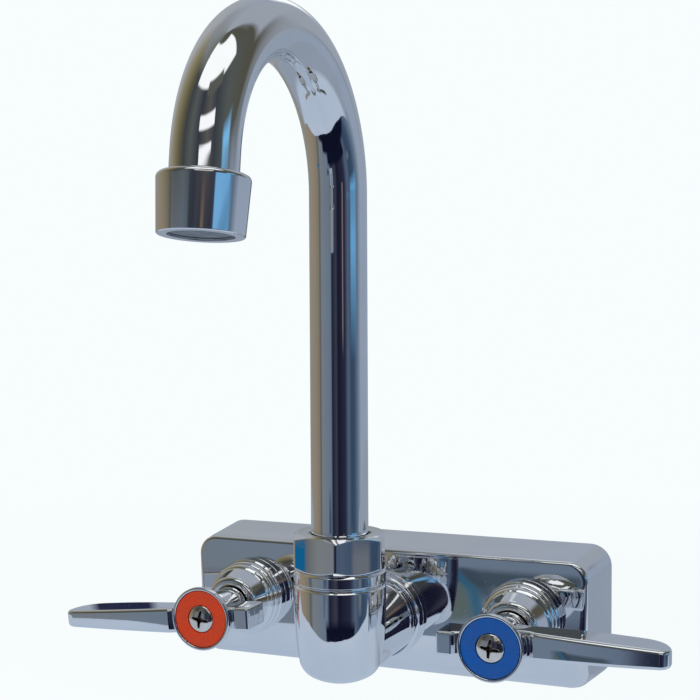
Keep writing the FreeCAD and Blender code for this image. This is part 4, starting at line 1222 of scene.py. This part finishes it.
class FAUCET_OT_gasket(bpy.types.Operator):
    """Make the foam gasket"""

    bl_idname = "faucet.gasket"
    bl_label = "Wall gasket"

    def execute(self, context):
        make_piece("foam_gasket", "faucet_body", "gasket_foam", gasket_shells(), ["wall_gasket"])
        return {"FINISHED"}


class FAUCET_OT_wall_fixings(bpy.types.Operator):
    """Make the threaded shanks, the washers and the locknuts"""

    bl_idname = "faucet.wall_fixings"
    bl_label = "Shanks, washers and locknuts"

    def execute(self, context):
        detail = context.scene.faucet_detail
        across_flats = 31.8
        outline = nut_outline(across_flats, 30.0)
        wall_back, washer_back, nut_back = -12.0, -14.2, -20.7
        washer = profile([(SHANK_HOLE_R, washer_back, 0.2), (17.0, washer_back, 0.35), (17.0, wall_back, 0.2),
                          (SHANK_HOLE_R, wall_back, 0.2)])
        washers, nuts = [], []
        for side, x in SIDES:
            shank = shank_shell(ahead_seat(x), detail.thread_pitch / MM, detail.thread_depth / MM)
            make_piece(side + "_threaded_shank", "faucet_body", "plain_brass", [shank],
                       [side + "_inlet_shank"], 60)
            washers.append(turned(washer, ahead_seat(x)))
            nuts.append(nut_shell(outline, across_flats / 2, nut_back, washer_back, 1.3, SHANK_HOLE_R,
                                  ahead_seat(x)))
        make_piece("flat_washers", "faucet_body", "zinc_steel", washers, ["shank_washers"])
        make_piece("locknuts", "faucet_body", "zinc_steel", nuts, ["shank_locknuts"])
        return {"FINISHED"}


class FAUCET_OT_elbow(bpy.types.Operator):
    """Make the collar and the elbow"""

    bl_idname = "faucet.elbow"
    bl_label = "Collar and elbow"

    def execute(self, context):
        line = profile([(SPIGOT_HOLE_R, BODY_FRONT, 0.1), (15.2, BODY_FRONT, 0.25), (15.2, COLLAR_FRONT, 1.2),
                        (SPIGOT_HOLE_R, COLLAR_FRONT, 0.1)])
        collar = turned(line, ahead_seat(0, ARM_Z), 144)
        make_piece("round_collar", "faucet_body", "polished_chrome", [collar], ["elbow_collar"])
        make_piece("elbow_and_cup", "faucet_body", "polished_chrome", elbow_shells(), ["spout_elbow"])
        return {"FINISHED"}


class FAUCET_OT_gland_nut(bpy.types.Operator):
    """Make the hexagonal gland nut"""

    bl_idname = "faucet.gland_nut"
    bl_label = "Gland nut"

    def execute(self, context):
        outline = nut_outline(28.3, 17.0, 1.4, 0.24)
        nut = nut_shell(outline, 14.3, CUP_TOP_Z, 33.0, 1.45, 10.1, upright_seat(0, SPOUT_AHEAD))
        make_piece("gland_nut", "faucet_body", "polished_chrome", [nut], ["spout_nut"])
        return {"FINISHED"}


class FAUCET_OT_gooseneck(bpy.types.Operator):
    """Make the bent spout tube"""

    bl_idname = "faucet.gooseneck"
    bl_label = "Gooseneck"

    def execute(self, context):
        make_piece("bent_spout", "spout", "polished_chrome", [gooseneck_shell()], ["gooseneck_tube"])
        return {"FINISHED"}


class FAUCET_OT_aerator(bpy.types.Operator):
    """Make the aerator's shell and its woven screen"""

    bl_idname = "faucet.aerator"
    bl_label = "Aerator"

    def execute(self, context):
        make_piece("aerator_shell", "spout", "polished_chrome", aerator_shells(), ["aerator_housing"])
        make_piece("woven_screen", "spout", "screen_steel", screen_shells(), ["aerator_screen"], 60)
        return {"FINISHED"}


class FAUCET_OT_bonnets(bpy.types.Operator):
    """Make the two bonnets"""

    bl_idname = "faucet.bonnets"
    bl_label = "Bonnets"

    def execute(self, context):
        for side, x in SIDES:
            make_piece(side + "_chromed_bonnet", "faucet_body", "polished_chrome", bonnet_shells(x),
                       [side + "_bonnet"])
        return {"FINISHED"}


class FAUCET_OT_handles(bpy.types.Operator):
    """Make the two lever handles"""

    bl_idname = "faucet.handles"
    bl_label = "Lever handles"

    def execute(self, context):
        for side, x, sign, droop in (("hot", HOT_X, -1, 3.9), ("cold", COLD_X, 1, 0.0)):
            make_piece(side + "_lever", side + "_handle", "polished_chrome", handle_shells(x, sign, droop),
                       [side + "_lever_handle"])
        return {"FINISHED"}


class FAUCET_OT_indexes(bpy.types.Operator):
    """Make the red and blue rings and the screws inside them"""

    bl_idname = "faucet.indexes"
    bl_label = "Index rings and screws"

    def execute(self, context):
        for side, x in SIDES:
            make_piece(side + "_colour_ring", side + "_handle", side + "_index_enamel", index_ring_shells(x),
                       [side + "_index_ring"])
            screw = make_piece(side + "_cross_screw", side + "_handle", "screw_steel", screw_shells(x),
                               [side + "_handle_screw"], 40)
            mark_recess(screw, x)
        return {"FINISHED"}


class FAUCET_OT_inner_pieces(bpy.types.Operator):
    """Finish the inner pieces that keep their CAD shape"""

    bl_idname = "faucet.inner_pieces"
    bl_label = "Inner pieces"

    def execute(self, context):
        slots = {part["node"]: part["material_slot"] for part in frame["record"]["subparts"]}
        for name, node in frame["nodes"].items():
            if not node.hide_render:
                node.data.materials.clear()
                node.data.materials.append(finish_for(slots[name]))
        return {"FINISHED"}


class FAUCET_OT_stage(bpy.types.Operator):
    """Make the camera, the floor, the light and the studio that the chrome mirrors"""

    bl_idname = "faucet.stage"
    bl_label = "Stage"

    def execute(self, context):
        settings = context.scene.faucet_stage
        make_camera(settings)
        make_floor(settings)
        make_world(settings)
        make_lamps(settings)
        make_studio(settings)
        return {"FINISHED"}


class FAUCET_PT_panel(bpy.types.Panel):
    """Lists the faucet's pieces"""

    bl_idname = "FAUCET_PT_panel"
    bl_label = "Gooseneck faucet"
    bl_space_type = "VIEW_3D"
    bl_region_type = "UI"
    bl_category = "Faucet"

    def draw(self, context):
        layout = self.layout
        for group in (context.scene.faucet_finishes, context.scene.faucet_detail, context.scene.faucet_stage):
            box = layout.box()
            for name in group.__annotations__:
                box.prop(group, name)
        for operator in OPERATORS:
            layout.operator(operator.bl_idname)


GROUPS = (FaucetFinishes, FaucetDetail, FaucetStage)
OPERATORS = (
    FAUCET_OT_stage, FAUCET_OT_body, FAUCET_OT_gasket, FAUCET_OT_wall_fixings, FAUCET_OT_elbow,
    FAUCET_OT_gland_nut, FAUCET_OT_gooseneck, FAUCET_OT_aerator, FAUCET_OT_bonnets, FAUCET_OT_handles,
    FAUCET_OT_indexes, FAUCET_OT_inner_pieces)


def register():
    """Add the classes and the settings to Blender."""
    for made in GROUPS + OPERATORS + (FAUCET_PT_panel,):
        bpy.utils.register_class(made)
    bpy.types.Scene.faucet_finishes = PointerProperty(type=FaucetFinishes)
    bpy.types.Scene.faucet_detail = PointerProperty(type=FaucetDetail)
    bpy.types.Scene.faucet_stage = PointerProperty(type=FaucetStage)


def unregister():
    """Take the classes and the settings out again."""
    del bpy.types.Scene.faucet_finishes
    del bpy.types.Scene.faucet_detail
    del bpy.types.Scene.faucet_stage
    for made in reversed(GROUPS + OPERATORS + (FAUCET_PT_panel,)):
        bpy.utils.unregister_class(made)


def main():
    """Build every piece and the stage."""
    register()
    for made in OPERATORS:
        area, name = made.bl_idname.split(".")
        getattr(getattr(bpy.ops, area), name)()
    bpy.context.scene.view_settings.view_transform = "Standard"


if __name__ == "__main__":
    main()
